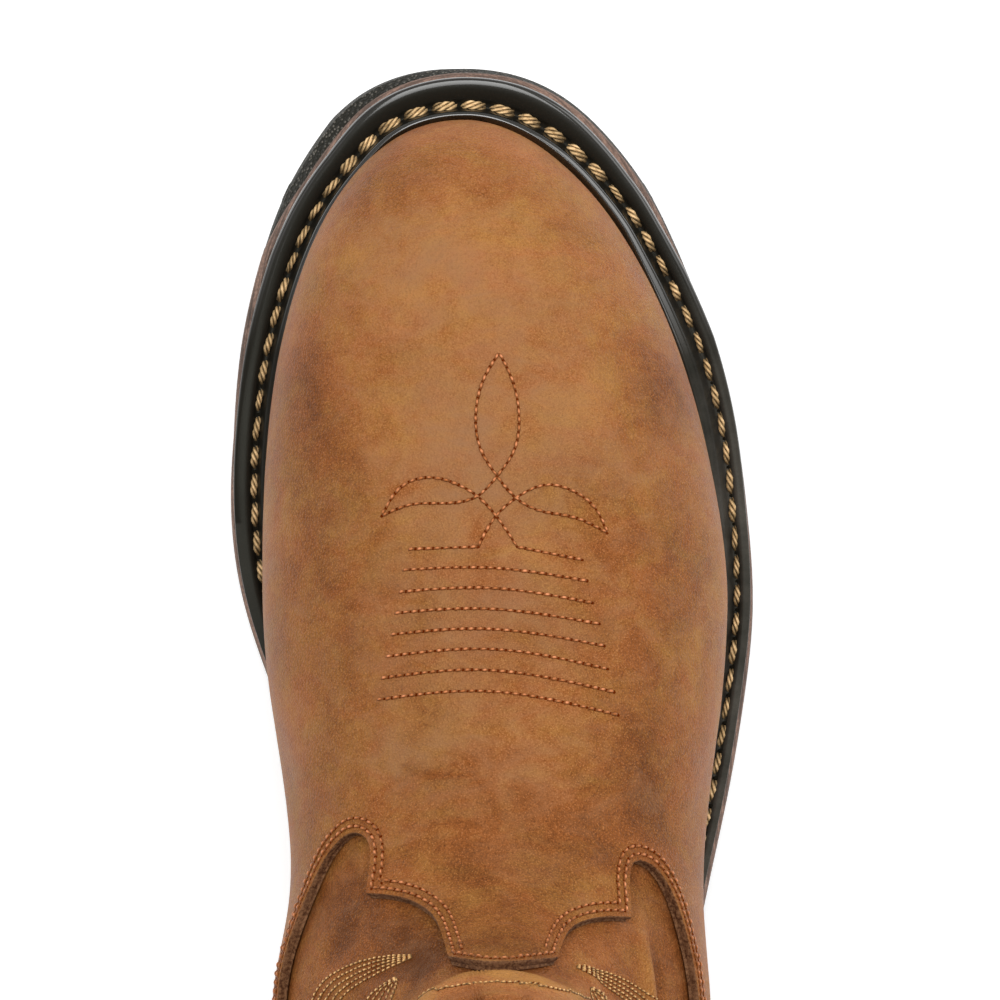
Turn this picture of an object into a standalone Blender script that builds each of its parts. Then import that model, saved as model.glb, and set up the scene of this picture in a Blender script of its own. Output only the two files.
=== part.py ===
"""Right-foot roper boot: a pull-on western boot with a round toe, a welted sole and a low heel.

Sizes are in millimetres and become metres when a mesh is made. The boot's own coordinates are side (plus
towards the inner, medial side of the foot), station (from the toe tip of the outsole back to the heel) and
height above the floor. In the world the toe points to -Y and the medial side to +X.
"""

import math

import bmesh
import bpy
import numpy as np

MM = 0.001
TINY = 1e-6

# Modelling tolerances: merged points in metres and as decimals of a millimetre, and the step for slopes
MERGE = 1e-6
MERGE_DECIMALS = 3
SLOPE_STEP = 0.01
SHARP_ANGLE = math.radians(40.0)

# Driving sizes
SOLE_LENGTH = 304.0
HEEL_HEIGHT = 24.0
HEEL_BREAST = 208.0
TOE_SPRING = 13.5
TOE_SPRING_FROM = 74.0
SHANK_FROM = 118.0
SHANK_TO = 226.0
OUTSOLE_THICKNESS = 7.0
MIDSOLE_THICKNESS = 4.0
INSOLE_THICKNESS = 3.0
LEATHER = 2.0
GAP = 0.3
SHAFT_GAP = 0.5
WELT_CLEAR = 0.4
INSOLE_CLEAR = 0.9
MIDSOLE_CHAMFER = 1.6
HEEL_TAPER = 3.0
SKIRT = 6.0
BACK_HEIGHT = 270.0

# Tread: bars across the forefoot and the heel, split by a channel along the middle
TREAD_DEPTH = 2.5
TREAD_DRAFT = 0.8
TREAD_GROOVE = 4.5
TREAD_PITCH = 14.0
FOREFOOT_GROOVES = (24.0, 150.0)
HEEL_GROOVES = (226.0, 278.0)
CHANNEL = (0.455, 0.470, 0.530, 0.545)
CHANNEL_SPAN = (30.0, 160.0)

# Plan outline of the midsole: where its edge lies on each side, at stations from the toe to the heel
TOE_TIP = (8.0, 1.4)
HEEL_TIP = (0.0, SOLE_LENGTH)
OUTLINE_COLUMNS = ("station", "medial", "lateral")
OUTLINE = (
    (4.0, 20.4, -8.8),
    (8.0, 27.6, -16.1),
    (15.5, 34.9, -24.4),
    (27.5, 43.1, -33.5),
    (40.0, 48.5, -39.8),
    (59.0, 53.9, -47.5),
    (78.0, 56.7, -52.5),
    (96.0, 57.4, -54.9),
    (117.0, 54.3, -56.1),
    (136.0, 47.8, -54.2),
    (156.0, 41.0, -50.6),
    (176.0, 36.2, -46.0),
    (200.0, 34.8, -41.3),
    (230.0, 35.6, -38.4),
    (258.0, 35.4, -36.6),
    (282.0, 31.2, -31.8),
    (297.0, 20.0, -20.4),
)

# How far the outsole's foot stands out past the midsole, by the way along the edge from the toe tip
BUMPER_COLUMNS = ("along", "out")
BUMPER = ((-100.0, 0.0), (-60.0, 0.5), (-28.0, 0.9), (0.0, 1.4), (28.0, 3.5), (60.0, 2.1), (100.0, 0.0))

# How far the leather stands in from the midsole's edge, by station
MARGIN_COLUMNS = ("station", "inset")
MARGIN = ((0.0, 10.8), (60.0, 9.6), (120.0, 9.0), (190.0, 6.4), (260.0, 6.8), (304.0, 7.5))

# Welt profile from its outer foot to the rib against the leather: share of its width, height over its seat
WELT_COLUMNS = ("share", "height")
WELT = (
    (0.00, 0.0),
    (0.13, 2.5),
    (0.22, 3.2),
    (0.32, 2.5),
    (0.72, 2.4),
    (0.79, 4.4),
    (0.90, 5.4),
    (1.00, 4.8),
    (1.00, 0.0),
)

# The upper: one row for each section, from the toe over the instep and the ankle up the shaft. A section is
# a plane through a point on the front line (top) and a point on the sole's seat or the back line (base).
# Widest is how far up the section its greatest width lies, crown and tuck its roundness above and below that.
SECTION_COLUMNS = (
    "top_station", "top_height", "top_side", "base_station", "base_height",
    "medial", "lateral", "widest", "crown_medial", "crown_lateral", "tuck",
)
ON_SEAT = 0.0
SECTIONS = (
    (12.2, 57.0, 6.3, 12.2, ON_SEAT, 49.2, -49.3, 0.22, 2.3, 2.2, 2.0),
    (30.0, 60.0, 5.2, 30.0, ON_SEAT, 49.2, -49.3, 0.22, 2.3, 2.2, 2.0),
    (60.0, 66.5, 2.8, 60.0, ON_SEAT, 49.2, -49.3, 0.22, 2.2, 2.1, 2.0),
    (92.0, 74.0, 0.8, 92.0, ON_SEAT, 49.3, -49.3, 0.24, 2.1, 2.05, 2.0),
    (122.0, 81.5, -0.2, 123.0, ON_SEAT, 48.9, -49.2, 0.27, 2.05, 2.0, 1.6),
    (146.0, 87.5, -0.5, 154.0, ON_SEAT, 44.8, -45.8, 0.33, 2.0, 2.0, 1.15),
    (160.0, 91.5, -0.5, 186.0, ON_SEAT, 42.8, -43.5, 0.39, 2.0, 2.0, 1.0),
    (169.5, 97.0, -0.5, 222.0, ON_SEAT, 46.0, -44.6, 0.45, 2.0, 2.0, 1.0),
    (176.0, 104.0, -0.5, 255.0, ON_SEAT, 44.4, -43.4, 0.49, 2.0, 2.0, 1.05),
    (180.0, 111.0, -0.5, 283.0, ON_SEAT, 41.0, -40.4, 0.50, 2.0, 2.0, 1.3),
    (182.5, 117.0, -0.5, 296.5, ON_SEAT, 39.2, -38.8, 0.51, 2.0, 2.0, 1.85),
    (185.0, 125.0, -0.5, 301.0, 60.0, 39.0, -38.8, 0.52, 2.0, 2.0, 1.95),
    (187.0, 135.0, -0.5, 299.0, 88.0, 39.8, -39.6, 0.52, 2.0, 2.0, 2.0),
    (189.0, 150.0, -0.4, 294.0, 120.0, 41.6, -41.6, 0.52, 2.0, 2.0, 2.0),
    (191.0, 175.0, -0.3, 292.5, 155.0, 44.4, -44.4, 0.51, 2.05, 2.05, 2.05),
    (192.5, 205.0, -0.2, 295.5, 195.0, 47.6, -47.6, 0.50, 2.1, 2.1, 2.1),
    (193.0, 240.0, 0.0, 299.5, 236.0, 50.4, -50.4, 0.50, 2.1, 2.1, 2.1),
    (193.0, BACK_HEIGHT, 0.0, 302.5, BACK_HEIGHT, 52.2, -52.2, 0.50, 2.1, 2.1, 2.1),
)
HEEL_ROW = 10
COLLAR_ROW = len(SECTIONS) - 1

# Rounding of the toe in plan on each side and in profile: the station where it starts and its squareness
TOE_MEDIAL = (100.0, 2.2)
TOE_LATERAL = (117.0, 1.85)
TOE_TOP = (62.0, 2.6)

# Share of the way from the front line to the base at which a section is widest
WIDEST_ACROSS = 0.6

# Top edge of the vamp on each side, from the middle of the tongue over the hollow beside it, the corner
# and the lobe to the back seam: the share of the way across and the section row reached there
TOPLINE_COLUMNS = ("medial_across", "medial_row", "lateral_across", "lateral_row")
TOPLINE = (
    (0.000, 10.62, 0.000, 10.62),
    (0.094, 9.78, 0.122, 9.46),
    (0.100, 8.44, 0.128, 8.45),
    (0.116, 7.66, 0.144, 7.93),
    (0.150, 7.24, 0.180, 7.56),
    (0.236, 6.82, 0.254, 7.20),
    (0.241, 6.20, 0.259, 6.41),
    (0.252, 5.95, 0.268, 6.25),
    (0.282, 5.80, 0.302, 6.17),
    (0.330, 5.86, 0.335, 6.23),
    (0.372, 6.04, 0.378, 6.46),
    (0.416, 6.37, 0.408, 6.77),
    (0.462, 6.80, 0.450, 7.30),
    (0.515, 7.50, 0.510, 8.00),
    (0.560, 8.20, 0.560, 8.60),
    (0.615, 9.15, 0.615, 9.40),
    (0.670, 10.00, 0.670, 10.15),
    (0.735, 10.80, 0.735, 10.85),
    (0.800, 11.30, 0.800, 11.35),
    (0.850, 11.60, 0.850, 11.60),
    (0.900, 11.80, 0.900, 11.80),
    (0.950, 11.93, 0.950, 11.93),
    (1.000, 12.00, 1.000, 12.00),
)

# Mesh density: points along the edges, and the steps of the leather walls up to each section row
OUTLINE_STEPS = 2400
SEAT_STEPS = 600
EDGE_STEPS = 48
VAMP_FOOT_STEPS = ((2.0, 10), (5.0, 6))
VAMP_ANKLE_STEPS = ((8.0, 9), (10.0, 4), (12.0, 3))
SHAFT_TUCK_STEPS = 1
SHAFT_STEPS = 9

# Points repeated past the ends of a closed or mirrored table, which keep its curve smooth there
LAP = 4

# Share of the way across a plate at its toe and heel points
MIDDLE_SHARE = 0.5

# Finish of each piece: colour, roughness
FINISH = {
    "outsole": ((0.012, 0.012, 0.012), 0.7),
    "heel": ((0.012, 0.012, 0.012), 0.7),
    "midsole": ((0.16, 0.07, 0.04), 0.6),
    "welt": ((0.010, 0.011, 0.010), 0.35),
    "vamp": ((0.33, 0.13, 0.04), 0.5),
    "shaft": ((0.28, 0.11, 0.035), 0.5),
    "insole": ((0.45, 0.30, 0.18), 0.8),
}


def natural_spline(knots, values):
    """A smooth curve through a table's column, as a function of the knot."""
    knots = np.asarray(knots, float)
    values = np.asarray(values, float)
    count = len(knots)
    step = np.diff(knots)
    matrix = np.eye(count)
    right = np.zeros(count)
    for i in range(1, count - 1):
        matrix[i, i - 1:i + 2] = step[i - 1], 2.0 * (step[i - 1] + step[i]), step[i]
        right[i] = 6.0 * ((values[i + 1] - values[i]) / step[i] - (values[i] - values[i - 1]) / step[i - 1])
    bend = np.linalg.solve(matrix, right)

    def curve(at):
        at = np.clip(np.asarray(at, float), knots[0], knots[-1])
        i = np.clip(np.searchsorted(knots, at, side="right") - 1, 0, count - 2)
        far = (knots[i + 1] - at) / step[i]
        near = (at - knots[i]) / step[i]
        arch = (far ** 3 - far) * bend[i] + (near ** 3 - near) * bend[i + 1]
        return far * values[i] + near * values[i + 1] + arch * step[i] ** 2 / 6.0

    return curve


def column(table, columns, name):
    """One named column of a table."""
    return np.array([row[columns.index(name)] for row in table], float)


def table_curve(table, columns):
    """Straight-line reading of a two-column table."""
    knots = column(table, columns, columns[0])
    values = column(table, columns, columns[1])
    return lambda at: np.interp(at, knots, values)


def tread_height(station):
    """Height of the tread plane: toe spring, a flat ball, the arch and the heel seat."""
    station = np.asarray(station, float)
    spring = TOE_SPRING * np.clip(1.0 - station / TOE_SPRING_FROM, 0.0, None) ** 2
    rise = np.clip((station - SHANK_FROM) / (SHANK_TO - SHANK_FROM), 0.0, 1.0)
    return spring + HEEL_HEIGHT * rise * rise * (3.0 - 2.0 * rise)


def seat_height(station):
    """Height at which the upper, welt and insole sit on the midsole."""
    return tread_height(station) + OUTSOLE_THICKNESS + MIDSOLE_THICKNESS + GAP


class Outline:
    """Plan edge of the sole, and edges set in or out from it."""

    def __init__(self):
        station = column(OUTLINE, OUTLINE_COLUMNS, "station")
        medial = np.stack([column(OUTLINE, OUTLINE_COLUMNS, "medial"), station], axis=1)
        lateral = np.stack([column(OUTLINE, OUTLINE_COLUMNS, "lateral"), station], axis=1)
        loop = np.vstack([[TOE_TIP], medial, [HEEL_TIP], lateral[::-1]])
        wrapped = np.vstack([loop[-LAP:], loop, loop[:LAP + 1]])
        chord = np.concatenate([[0.0], np.cumsum(np.linalg.norm(np.diff(wrapped, axis=0), axis=1))])
        start, end = chord[LAP], chord[LAP + len(loop)]
        at = np.linspace(start, end, OUTLINE_STEPS, endpoint=False)
        self.points = np.stack([natural_spline(chord, wrapped[:, k])(at) for k in (0, 1)], axis=1)
        ahead = np.roll(self.points, -1, axis=0) - np.roll(self.points, 1, axis=0)
        ahead /= np.linalg.norm(ahead, axis=1, keepdims=True)
        self.outward = np.stack([ahead[:, 1], -ahead[:, 0]], axis=1)
        along = at - start
        length = end - start
        self.along = np.where(along > length / 2.0, along - length, along)

    def edge(self, out):
        """The edge moved out by a distance, or by one distance for each dense point."""
        return self.points + self.outward * np.broadcast_to(out, (OUTLINE_STEPS,))[:, None]

    def bumper(self):
        """Edge of the outsole's foot."""
        return self.edge(table_curve(BUMPER, BUMPER_COLUMNS)(self.along))

    def seat(self):
        """Edge of the leather where it meets the welt."""
        return self.edge(-table_curve(MARGIN, MARGIN_COLUMNS)(self.points[:, 1]))


OUTLINE_EDGE = Outline()


def split_sides(edge):
    """An edge as two runs from its foremost to its rearmost point, medial then lateral."""
    toe = int(np.argmin(edge[:, 1]))
    rolled = np.roll(edge, -toe, axis=0)
    heel = int(np.argmax(rolled[:, 1]))
    medial = rolled[:heel + 1]
    lateral = np.vstack([rolled[heel:], rolled[:1]])[::-1]
    return medial, lateral


class Seat:
    """Side positions of the leather's lower edge at any station."""

    def __init__(self):
        self.medial, self.lateral = split_sides(OUTLINE_EDGE.seat())

    def side(self, station, medial):
        """Side position at a station, on the medial or the lateral edge."""
        run = self.medial if medial else self.lateral
        return np.interp(station, run[:, 1], run[:, 0])


SEAT_EDGE = Seat()


class Form:
    """Outer surface of the upper, by section row and share across (plus is medial, minus lateral)."""

    def __init__(self):
        rows = np.arange(len(SECTIONS), dtype=float)
        ahead = slice(LAP - 1, 0, -1)
        behind = slice(-2, -1 - LAP, -1)
        self.curves = {}
        for name in SECTION_COLUMNS:
            values = column(SECTIONS, SECTION_COLUMNS, name)
            mirrored = np.concatenate([values[ahead], values])
            self.curves[name] = natural_spline(np.concatenate([-rows[ahead], rows]), mirrored)
        seat_rows = rows[:HEEL_ROW + 1]
        seat = column(SECTIONS[:HEEL_ROW + 1], SECTION_COLUMNS, "base_station")
        knots = np.concatenate([-seat_rows[ahead], seat_rows, 2 * HEEL_ROW - seat_rows[behind]])
        self.seat_station = natural_spline(knots, np.concatenate([seat[ahead], seat, seat[behind]]))
        back_rows = rows[HEEL_ROW:]
        back = SECTIONS[HEEL_ROW:]
        heights = column(back, SECTION_COLUMNS, "base_height")
        heights[0] = seat_height(seat[-1]) + SKIRT
        self.back_station = natural_spline(back_rows, column(back, SECTION_COLUMNS, "base_station"))
        self.back_height = natural_spline(back_rows, heights)

    def base(self, row):
        """Base point of a section: on the seat along the foot, on the back line above the heel."""
        on_seat = row <= HEEL_ROW
        station = np.where(on_seat, self.seat_station(row), self.back_station(row))
        height = np.where(on_seat, seat_height(station) + SKIRT, self.back_height(row))
        return station, height

    @staticmethod
    def close(station, toe):
        """How far a width or height has opened out behind the toe tip, from 0 to 1."""
        start, square = toe
        tip = SECTIONS[0][0]
        ahead = np.clip((start - station) / (start - tip), 0.0, 1.0)
        return (1.0 - ahead ** square) ** (1.0 / square)

    def point(self, row, across):
        """Side, station and height of points on the surface."""
        row, across = np.broadcast_arrays(np.asarray(row, float), np.asarray(across, float))
        get = {name: curve(row) for name, curve in self.curves.items()}
        base_station, base_height = self.base(row)
        top_station = get["top_station"]
        tip_side = SECTIONS[0][2]
        medial = tip_side + (get["medial"] - tip_side) * self.close(top_station, TOE_MEDIAL)
        lateral = tip_side + (get["lateral"] - tip_side) * self.close(top_station, TOE_LATERAL)
        top_height = base_height + (get["top_height"] - base_height) * self.close(top_station, TOE_TOP)
        inner = across >= 0.0
        wide = np.where(inner, medial, lateral)
        crown = np.where(inner, get["crown_medial"], get["crown_lateral"])
        foot = np.where(inner, SEAT_EDGE.side(base_station, True), SEAT_EDGE.side(base_station, False))
        foot = np.where(inner, np.minimum(foot, wide), np.maximum(foot, wide))
        foot = np.where(row < HEEL_ROW - TINY, foot, 0.0)
        share = np.abs(across)
        above = np.clip(1.0 - share / WIDEST_ACROSS, 0.0, 1.0) * math.pi / 2.0
        below = np.clip((share - WIDEST_ACROSS) / (1.0 - WIDEST_ACROSS), 0.0, 1.0) * math.pi / 2.0
        top_side = get["top_side"]
        up_side = top_side + (wide - top_side) * np.cos(above) ** (2.0 / crown)
        up = get["widest"] + (1.0 - get["widest"]) * np.sin(above) ** (2.0 / crown)
        low_side = foot + (wide - foot) * np.clip(np.cos(below), 0.0, 1.0) ** (2.0 / get["tuck"])
        low = get["widest"] * (1.0 - np.sin(below))
        upper_part = share <= WIDEST_ACROSS
        side = np.where(upper_part, up_side, low_side)
        rise = np.where(upper_part, up, low)
        station = base_station + (top_station - base_station) * rise
        height = base_height + (top_height - base_height) * rise
        return np.stack([side, station, height], axis=-1)

    def outward(self, row, across):
        """Directions out of the surface; level where the leather stands on its seat."""
        row, across = np.broadcast_arrays(np.asarray(row, float), np.asarray(across, float))
        behind_tip = np.maximum(row, 2.0 * SLOPE_STEP)
        ahead = self.point(np.minimum(behind_tip + SLOPE_STEP, COLLAR_ROW), across)
        along_row = ahead - self.point(behind_tip - SLOPE_STEP, across)
        medial = self.point(behind_tip, np.minimum(across + SLOPE_STEP, 1.0))
        along_side = medial - self.point(behind_tip, np.maximum(across - SLOPE_STEP, -1.0))
        normal = np.cross(along_side, along_row)
        standing = (np.abs(across) > 1.0 - TINY) & (row <= HEEL_ROW + TINY)
        level = np.stack([along_row[..., 1], -along_row[..., 0], np.zeros(row.shape)], axis=-1)
        level *= np.sign(across)[..., None]
        at_heel = (np.abs(row - HEEL_ROW) <= TINY)[..., None]
        level = np.where(at_heel, np.array([0.0, 1.0, 0.0]), level)
        normal = np.where(standing[..., None], level, normal)
        return normal / np.linalg.norm(normal, axis=-1, keepdims=True)

    def inside(self, row, across, depth):
        """Points at a depth under the surface."""
        return self.point(row, across) - self.outward(row, across) * depth


FORM = Form()


def place(points):
    """World coordinates in metres: the origin is under the middle of the sole."""
    points = np.asarray(points, float)
    sole = OUTLINE_EDGE.bumper()
    middle = (sole.min(axis=0) + sole.max(axis=0)) / 2.0
    return (points - np.array([middle[0], middle[1], 0.0])) * MM


def finish_material(name):
    """Plain finish for one piece."""
    colour, roughness = FINISH[name]
    material = bpy.data.materials.new(name)
    material.use_nodes = True
    shader = material.node_tree.nodes["Principled BSDF"]
    shader.inputs["Base Color"].default_value = (*colour, 1.0)
    shader.inputs["Roughness"].default_value = roughness
    return material


def add_piece(name, points, faces):
    """A named object from points in boot coordinates, with doubles merged and faces turned outwards."""
    mesh = bpy.data.meshes.new(name)
    mesh.from_pydata([tuple(p) for p in place(points)], [], faces)
    solid = bmesh.new()
    solid.from_mesh(mesh)
    bmesh.ops.remove_doubles(solid, verts=solid.verts, dist=MERGE)
    bmesh.ops.dissolve_degenerate(solid, edges=solid.edges, dist=MERGE)
    bmesh.ops.recalc_face_normals(solid, faces=solid.faces)
    solid.to_mesh(mesh)
    solid.free()
    mesh.shade_smooth()
    mesh.set_sharp_from_angle(angle=SHARP_ANGLE)
    piece = bpy.data.objects.new(name, mesh)
    bpy.context.scene.collection.objects.link(piece)
    mesh.materials.append(finish_material(name))
    return piece


def edge_stations(extra=()):
    """Stations for the sole's edges, close together at the toe and heel, with any others asked for."""
    turn = np.linspace(0.0, math.pi, EDGE_STEPS + 1)[1:-1]
    even = SOLE_LENGTH * (1.0 - np.cos(turn)) / 2.0
    keep = [s for s in even if all(abs(s - e) > TREAD_DRAFT for e in extra)]
    return np.array(sorted([*keep, *extra]))


def edge_at(edge, stations):
    """Toe point, medial and lateral points and heel point of an edge, at shares of its own length."""
    medial, lateral = split_sides(edge)
    toe, heel = medial[0, 1], medial[-1, 1]
    own = toe + (heel - toe) * stations / SOLE_LENGTH
    inner = np.stack([np.interp(own, medial[:, 1], medial[:, 0]), own], axis=1)
    outer = np.stack([np.interp(own, lateral[:, 1], lateral[:, 0]), own], axis=1)
    return medial[0], inner, outer, medial[-1]


def plate_rows(edge, stations, height, shares=(0.0, 1.0)):
    """Rows of points across a plate, from its toe point to its heel point."""
    toe, inner, outer, heel = edge_at(edge, stations)
    rows = [[(*toe, height(toe[1], MIDDLE_SHARE))]]
    for a, b in zip(inner, outer):
        across = [a + (b - a) * share for share in shares]
        rows.append([(*p, height(p[1], share)) for p, share in zip(across, shares)])
    rows.append([(*heel, height(heel[1], MIDDLE_SHARE))])
    return rows


def add_plate(name, lower, upper):
    """A closed plate between two sets of rows."""
    points = []
    faces = []

    def sheet(rows):
        numbers = []
        for row in rows:
            numbers.append(list(range(len(points), len(points) + len(row))))
            points.extend(row)
        for a, b in zip(numbers, numbers[1:]):
            if len(a) == 1:
                faces.extend((a[0], q, p) for p, q in zip(b, b[1:]))
            elif len(b) == 1:
                faces.extend((p, q, b[0]) for p, q in zip(a, a[1:]))
            else:
                faces.extend((a[k], a[k + 1], b[k + 1], b[k]) for k in range(len(a) - 1))
        return numbers

    below = sheet(lower)
    above = sheet(upper)
    for side in (0, -1):
        for k in range(len(below) - 1):
            faces.append((below[k][side], below[k + 1][side], above[k + 1][side], above[k][side]))
    for end in (0, -1):
        if len(below[end]) > 1:
            faces.append((*below[end], *reversed(above[end])))
    return add_piece(name, points, faces)


def groove_edges(first, last):
    """Stations of each groove's lip, floor, floor and lip, at the tread's pitch."""
    lips = np.arange(first, last - TREAD_GROOVE, TREAD_PITCH)
    steps = (0.0, TREAD_DRAFT, TREAD_GROOVE - TREAD_DRAFT, TREAD_GROOVE)
    return np.array([[lip + step for step in steps] for lip in lips])


def in_groove(station, grooves):
    """Whether a station lies on the floor of a groove."""
    slack = TREAD_DRAFT / 2.0
    return bool(np.any((station > grooves[:, 1] - slack) & (station < grooves[:, 2] + slack)))


def make_outsole():
    """Rubber plate with a bumper round the toe and grooves across and along its forefoot."""
    grooves = groove_edges(*FOREFOOT_GROOVES)
    stations = edge_stations(grooves.ravel())
    channel = CHANNEL[1:3]

    def foot(station, share):
        cut = in_groove(station, grooves)
        along = channel[0] <= share <= channel[1] and CHANNEL_SPAN[0] < station < CHANNEL_SPAN[1]
        return float(tread_height(station)) + (TREAD_DEPTH if cut or along else 0.0)

    def top(station, share):
        return float(tread_height(station)) + OUTSOLE_THICKNESS - GAP

    lower = plate_rows(OUTLINE_EDGE.bumper(), stations, foot, (0.0, *CHANNEL, 1.0))
    upper = plate_rows(OUTLINE_EDGE.edge(0.0), stations, top)
    return add_plate("outsole", lower, upper)


def make_midsole():
    """Plate on the outsole, with its upper edge chamfered."""
    stations = edge_stations()

    def foot(station, share):
        return float(tread_height(station)) + OUTSOLE_THICKNESS

    def top(station, share):
        return foot(station, share) + MIDSOLE_THICKNESS

    lower = plate_rows(OUTLINE_EDGE.edge(0.0), stations, foot)
    upper = plate_rows(OUTLINE_EDGE.edge(-MIDSOLE_CHAMFER), stations, top)
    return add_plate("midsole", lower, upper)


def make_heel():
    """Block under the outsole behind the heel breast, with bars across its tread."""
    grooves = groove_edges(*HEEL_GROOVES)
    stations = edge_stations([HEEL_BREAST, *grooves.ravel()])
    behind = stations >= HEEL_BREAST - TINY

    def foot(station, share):
        return TREAD_DEPTH if in_groove(station, grooves) else 0.0

    def top(station, share):
        return float(tread_height(station)) - GAP

    lower = plate_rows(OUTLINE_EDGE.edge(-HEEL_TAPER), stations, foot)
    upper = plate_rows(OUTLINE_EDGE.edge(-GAP), stations, top)
    first = 1 + int(np.argmax(behind))
    return add_plate("heel", lower[first:], upper[first:])


def seat_loop(out):
    """Closed plan loop of the leather's lower edge, moved out by a distance."""
    rows = np.linspace(0.0, HEEL_ROW, SEAT_STEPS)
    medial = FORM.point(rows, 1.0)[:, :2]
    lateral = FORM.point(rows, -1.0)[:, :2]
    loop = np.vstack([medial, lateral[::-1][1:-1]])
    ahead = np.roll(loop, -1, axis=0) - np.roll(loop, 1, axis=0)
    ahead /= np.linalg.norm(ahead, axis=1, keepdims=True)
    return loop + np.stack([ahead[:, 1], -ahead[:, 0]], axis=1) * out


def make_welt():
    """A ring with an outer rim, a stitch channel and an inner rib."""
    toe, inner, outer, heel = edge_at(OUTLINE_EDGE.edge(-MIDSOLE_CHAMFER), edge_stations())
    outside = np.vstack([[toe], inner, [heel], outer[::-1]])
    wall = seat_loop(WELT_CLEAR)
    nearest = np.argmin(np.linalg.norm(outside[:, None] - wall[None], axis=2), axis=1)
    inside = wall[nearest]
    points = []
    shares = column(WELT, WELT_COLUMNS, "share")
    heights = column(WELT, WELT_COLUMNS, "height")
    for share, height in zip(shares, heights):
        plan = outside + (inside - outside) * share
        points.append(np.column_stack([plan, seat_height(plan[:, 1]) + height]))
    count = len(outside)
    faces = []
    for ring in range(len(WELT)):
        after = (ring + 1) % len(WELT)
        for k in range(count):
            n = (k + 1) % count
            faces.append((ring * count + k, ring * count + n, after * count + n, after * count + k))
    return add_piece("welt", np.vstack(points), faces)


def make_insole():
    """Plain layer inside the upper, on the midsole."""
    stations = edge_stations()
    edge = seat_loop(-LEATHER - INSOLE_CLEAR)

    def foot(station, share):
        return float(seat_height(station))

    def top(station, share):
        return foot(station, share) + INSOLE_THICKNESS

    return add_plate("insole", plate_rows(edge, stations, foot), plate_rows(edge, stations, top))


def add_wall(name, outer, inner, edge_rows):
    """A leather wall between two grids of points, whose two outermost columns stop after some rows."""
    rows, columns = outer.shape[:2]
    keys = np.round(outer.reshape(-1, 3), MERGE_DECIMALS) + 0.0
    merged = np.unique(keys, axis=0, return_inverse=True)[1].ravel()
    count = int(merged.max()) + 1
    share = np.bincount(merged)[:, None]
    skins = []
    for grid in (outer, inner):
        flat = grid.reshape(-1, 3)
        skins.append(np.stack([np.bincount(merged, flat[:, k]) for k in range(3)], axis=1) / share)
    faces = []
    for i in range(rows - 1):
        for j in range(columns - 1):
            if j in (0, columns - 2) and i >= edge_rows:
                continue
            corner = i * columns + j
            for turn in ((0, 1, columns + 1), (0, columns + 1, columns)):
                face = tuple(int(merged[corner + k]) for k in turn)
                if len(set(face)) == len(face):
                    faces.append(face)
    used = {}
    for face in faces:
        for edge in zip(face, face[1:] + face[:1]):
            used[frozenset(edge)] = used.get(frozenset(edge), 0) + 1
    rim = [edge for face in faces for edge in zip(face, face[1:] + face[:1]) if used[frozenset(edge)] == 1]
    walls = [(b, a, a + count, b + count) for a, b in rim]
    lining = [tuple(k + count for k in reversed(face)) for face in faces]
    return add_piece(name, np.vstack(skins), faces + lining + walls)


def topline():
    """Shares across, from the medial base over the front line to the lateral one, and the top edge's rows."""
    across, row = (
        np.concatenate([column(TOPLINE, TOPLINE_COLUMNS, "medial_" + name)[::-1],
                        sign * column(TOPLINE, TOPLINE_COLUMNS, "lateral_" + name)[1:]])
        for name, sign in (("across", -1.0), ("row", 1.0))
    )
    return across, row


def stepped(start, steps):
    """Rows from a start, in even steps up to each row of a table."""
    rows = [start]
    for to_row, count in steps:
        rows.extend(np.linspace(rows[-1], to_row, count + 1)[1:])
    return np.array(rows)


def vamp_rows():
    """Shares across, and the section rows of the vamp's mesh at each of them."""
    across, top_row = topline()
    foot = stepped(0.0, VAMP_FOOT_STEPS)
    back = stepped(foot[-1], VAMP_ANKLE_STEPS)
    share = (back - foot[-1]) / (back[-1] - foot[-1])
    ankle = foot[-1] + (top_row[None] - foot[-1]) * share[1:, None]
    return across, np.vstack([np.repeat(foot[:, None], len(across), axis=1), ankle])


def with_skirt(grid, on_seat):
    """A vamp grid with a column added on each side, straight down to the seat."""
    skirt = grid[:, (0, -1)].copy()
    skirt[on_seat, :, 2] -= SKIRT
    return np.concatenate([skirt[:, :1], grid, skirt[:, 1:]], axis=1)


def make_vamp():
    """Leather wall from the toe round the heel, with a skirt standing on the midsole."""
    across, rows = vamp_rows()
    on_seat = rows[:, 0] <= HEEL_ROW + TINY
    outer = with_skirt(FORM.point(rows, across[None]), on_seat)
    inner = with_skirt(FORM.inside(rows, across[None], LEATHER), on_seat)
    return add_wall("vamp", outer, inner, int(np.count_nonzero(on_seat)) - 1)


def make_shaft():
    """The tube starts on the vamp's last rows, tucked under its top edge, and rises to the collar."""
    across, rows = vamp_rows()
    share = np.linspace(0.0, 1.0, SHAFT_STEPS + 1)[1:, None]
    rise = rows[-1:] + (COLLAR_ROW - rows[-1:]) * share
    rows = np.vstack([rows[-1 - SHAFT_TUCK_STEPS:], rise])
    outer = FORM.inside(rows, across[None], LEATHER + SHAFT_GAP)
    inner = FORM.inside(rows, across[None], LEATHER + SHAFT_GAP + LEATHER)
    return add_wall("shaft", outer, inner, len(rows) - 1)


def main():
    """Clears the scene and makes every piece."""
    for old in list(bpy.data.objects):
        bpy.data.objects.remove(old)
    make_outsole()
    make_heel()
    make_midsole()
    make_welt()
    make_insole()
    make_vamp()
    make_shaft()


main()
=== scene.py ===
"""Looks of a right-foot roper boot: leather, rubber, thread and the studio they are shown in.

Sizes of the boot's form are in millimetres, in its own coordinates: side (plus towards the inner, medial
side of the foot), station (from the toe tip back to the heel) and height above the floor. Settings are in
metres.
"""

import math

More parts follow.
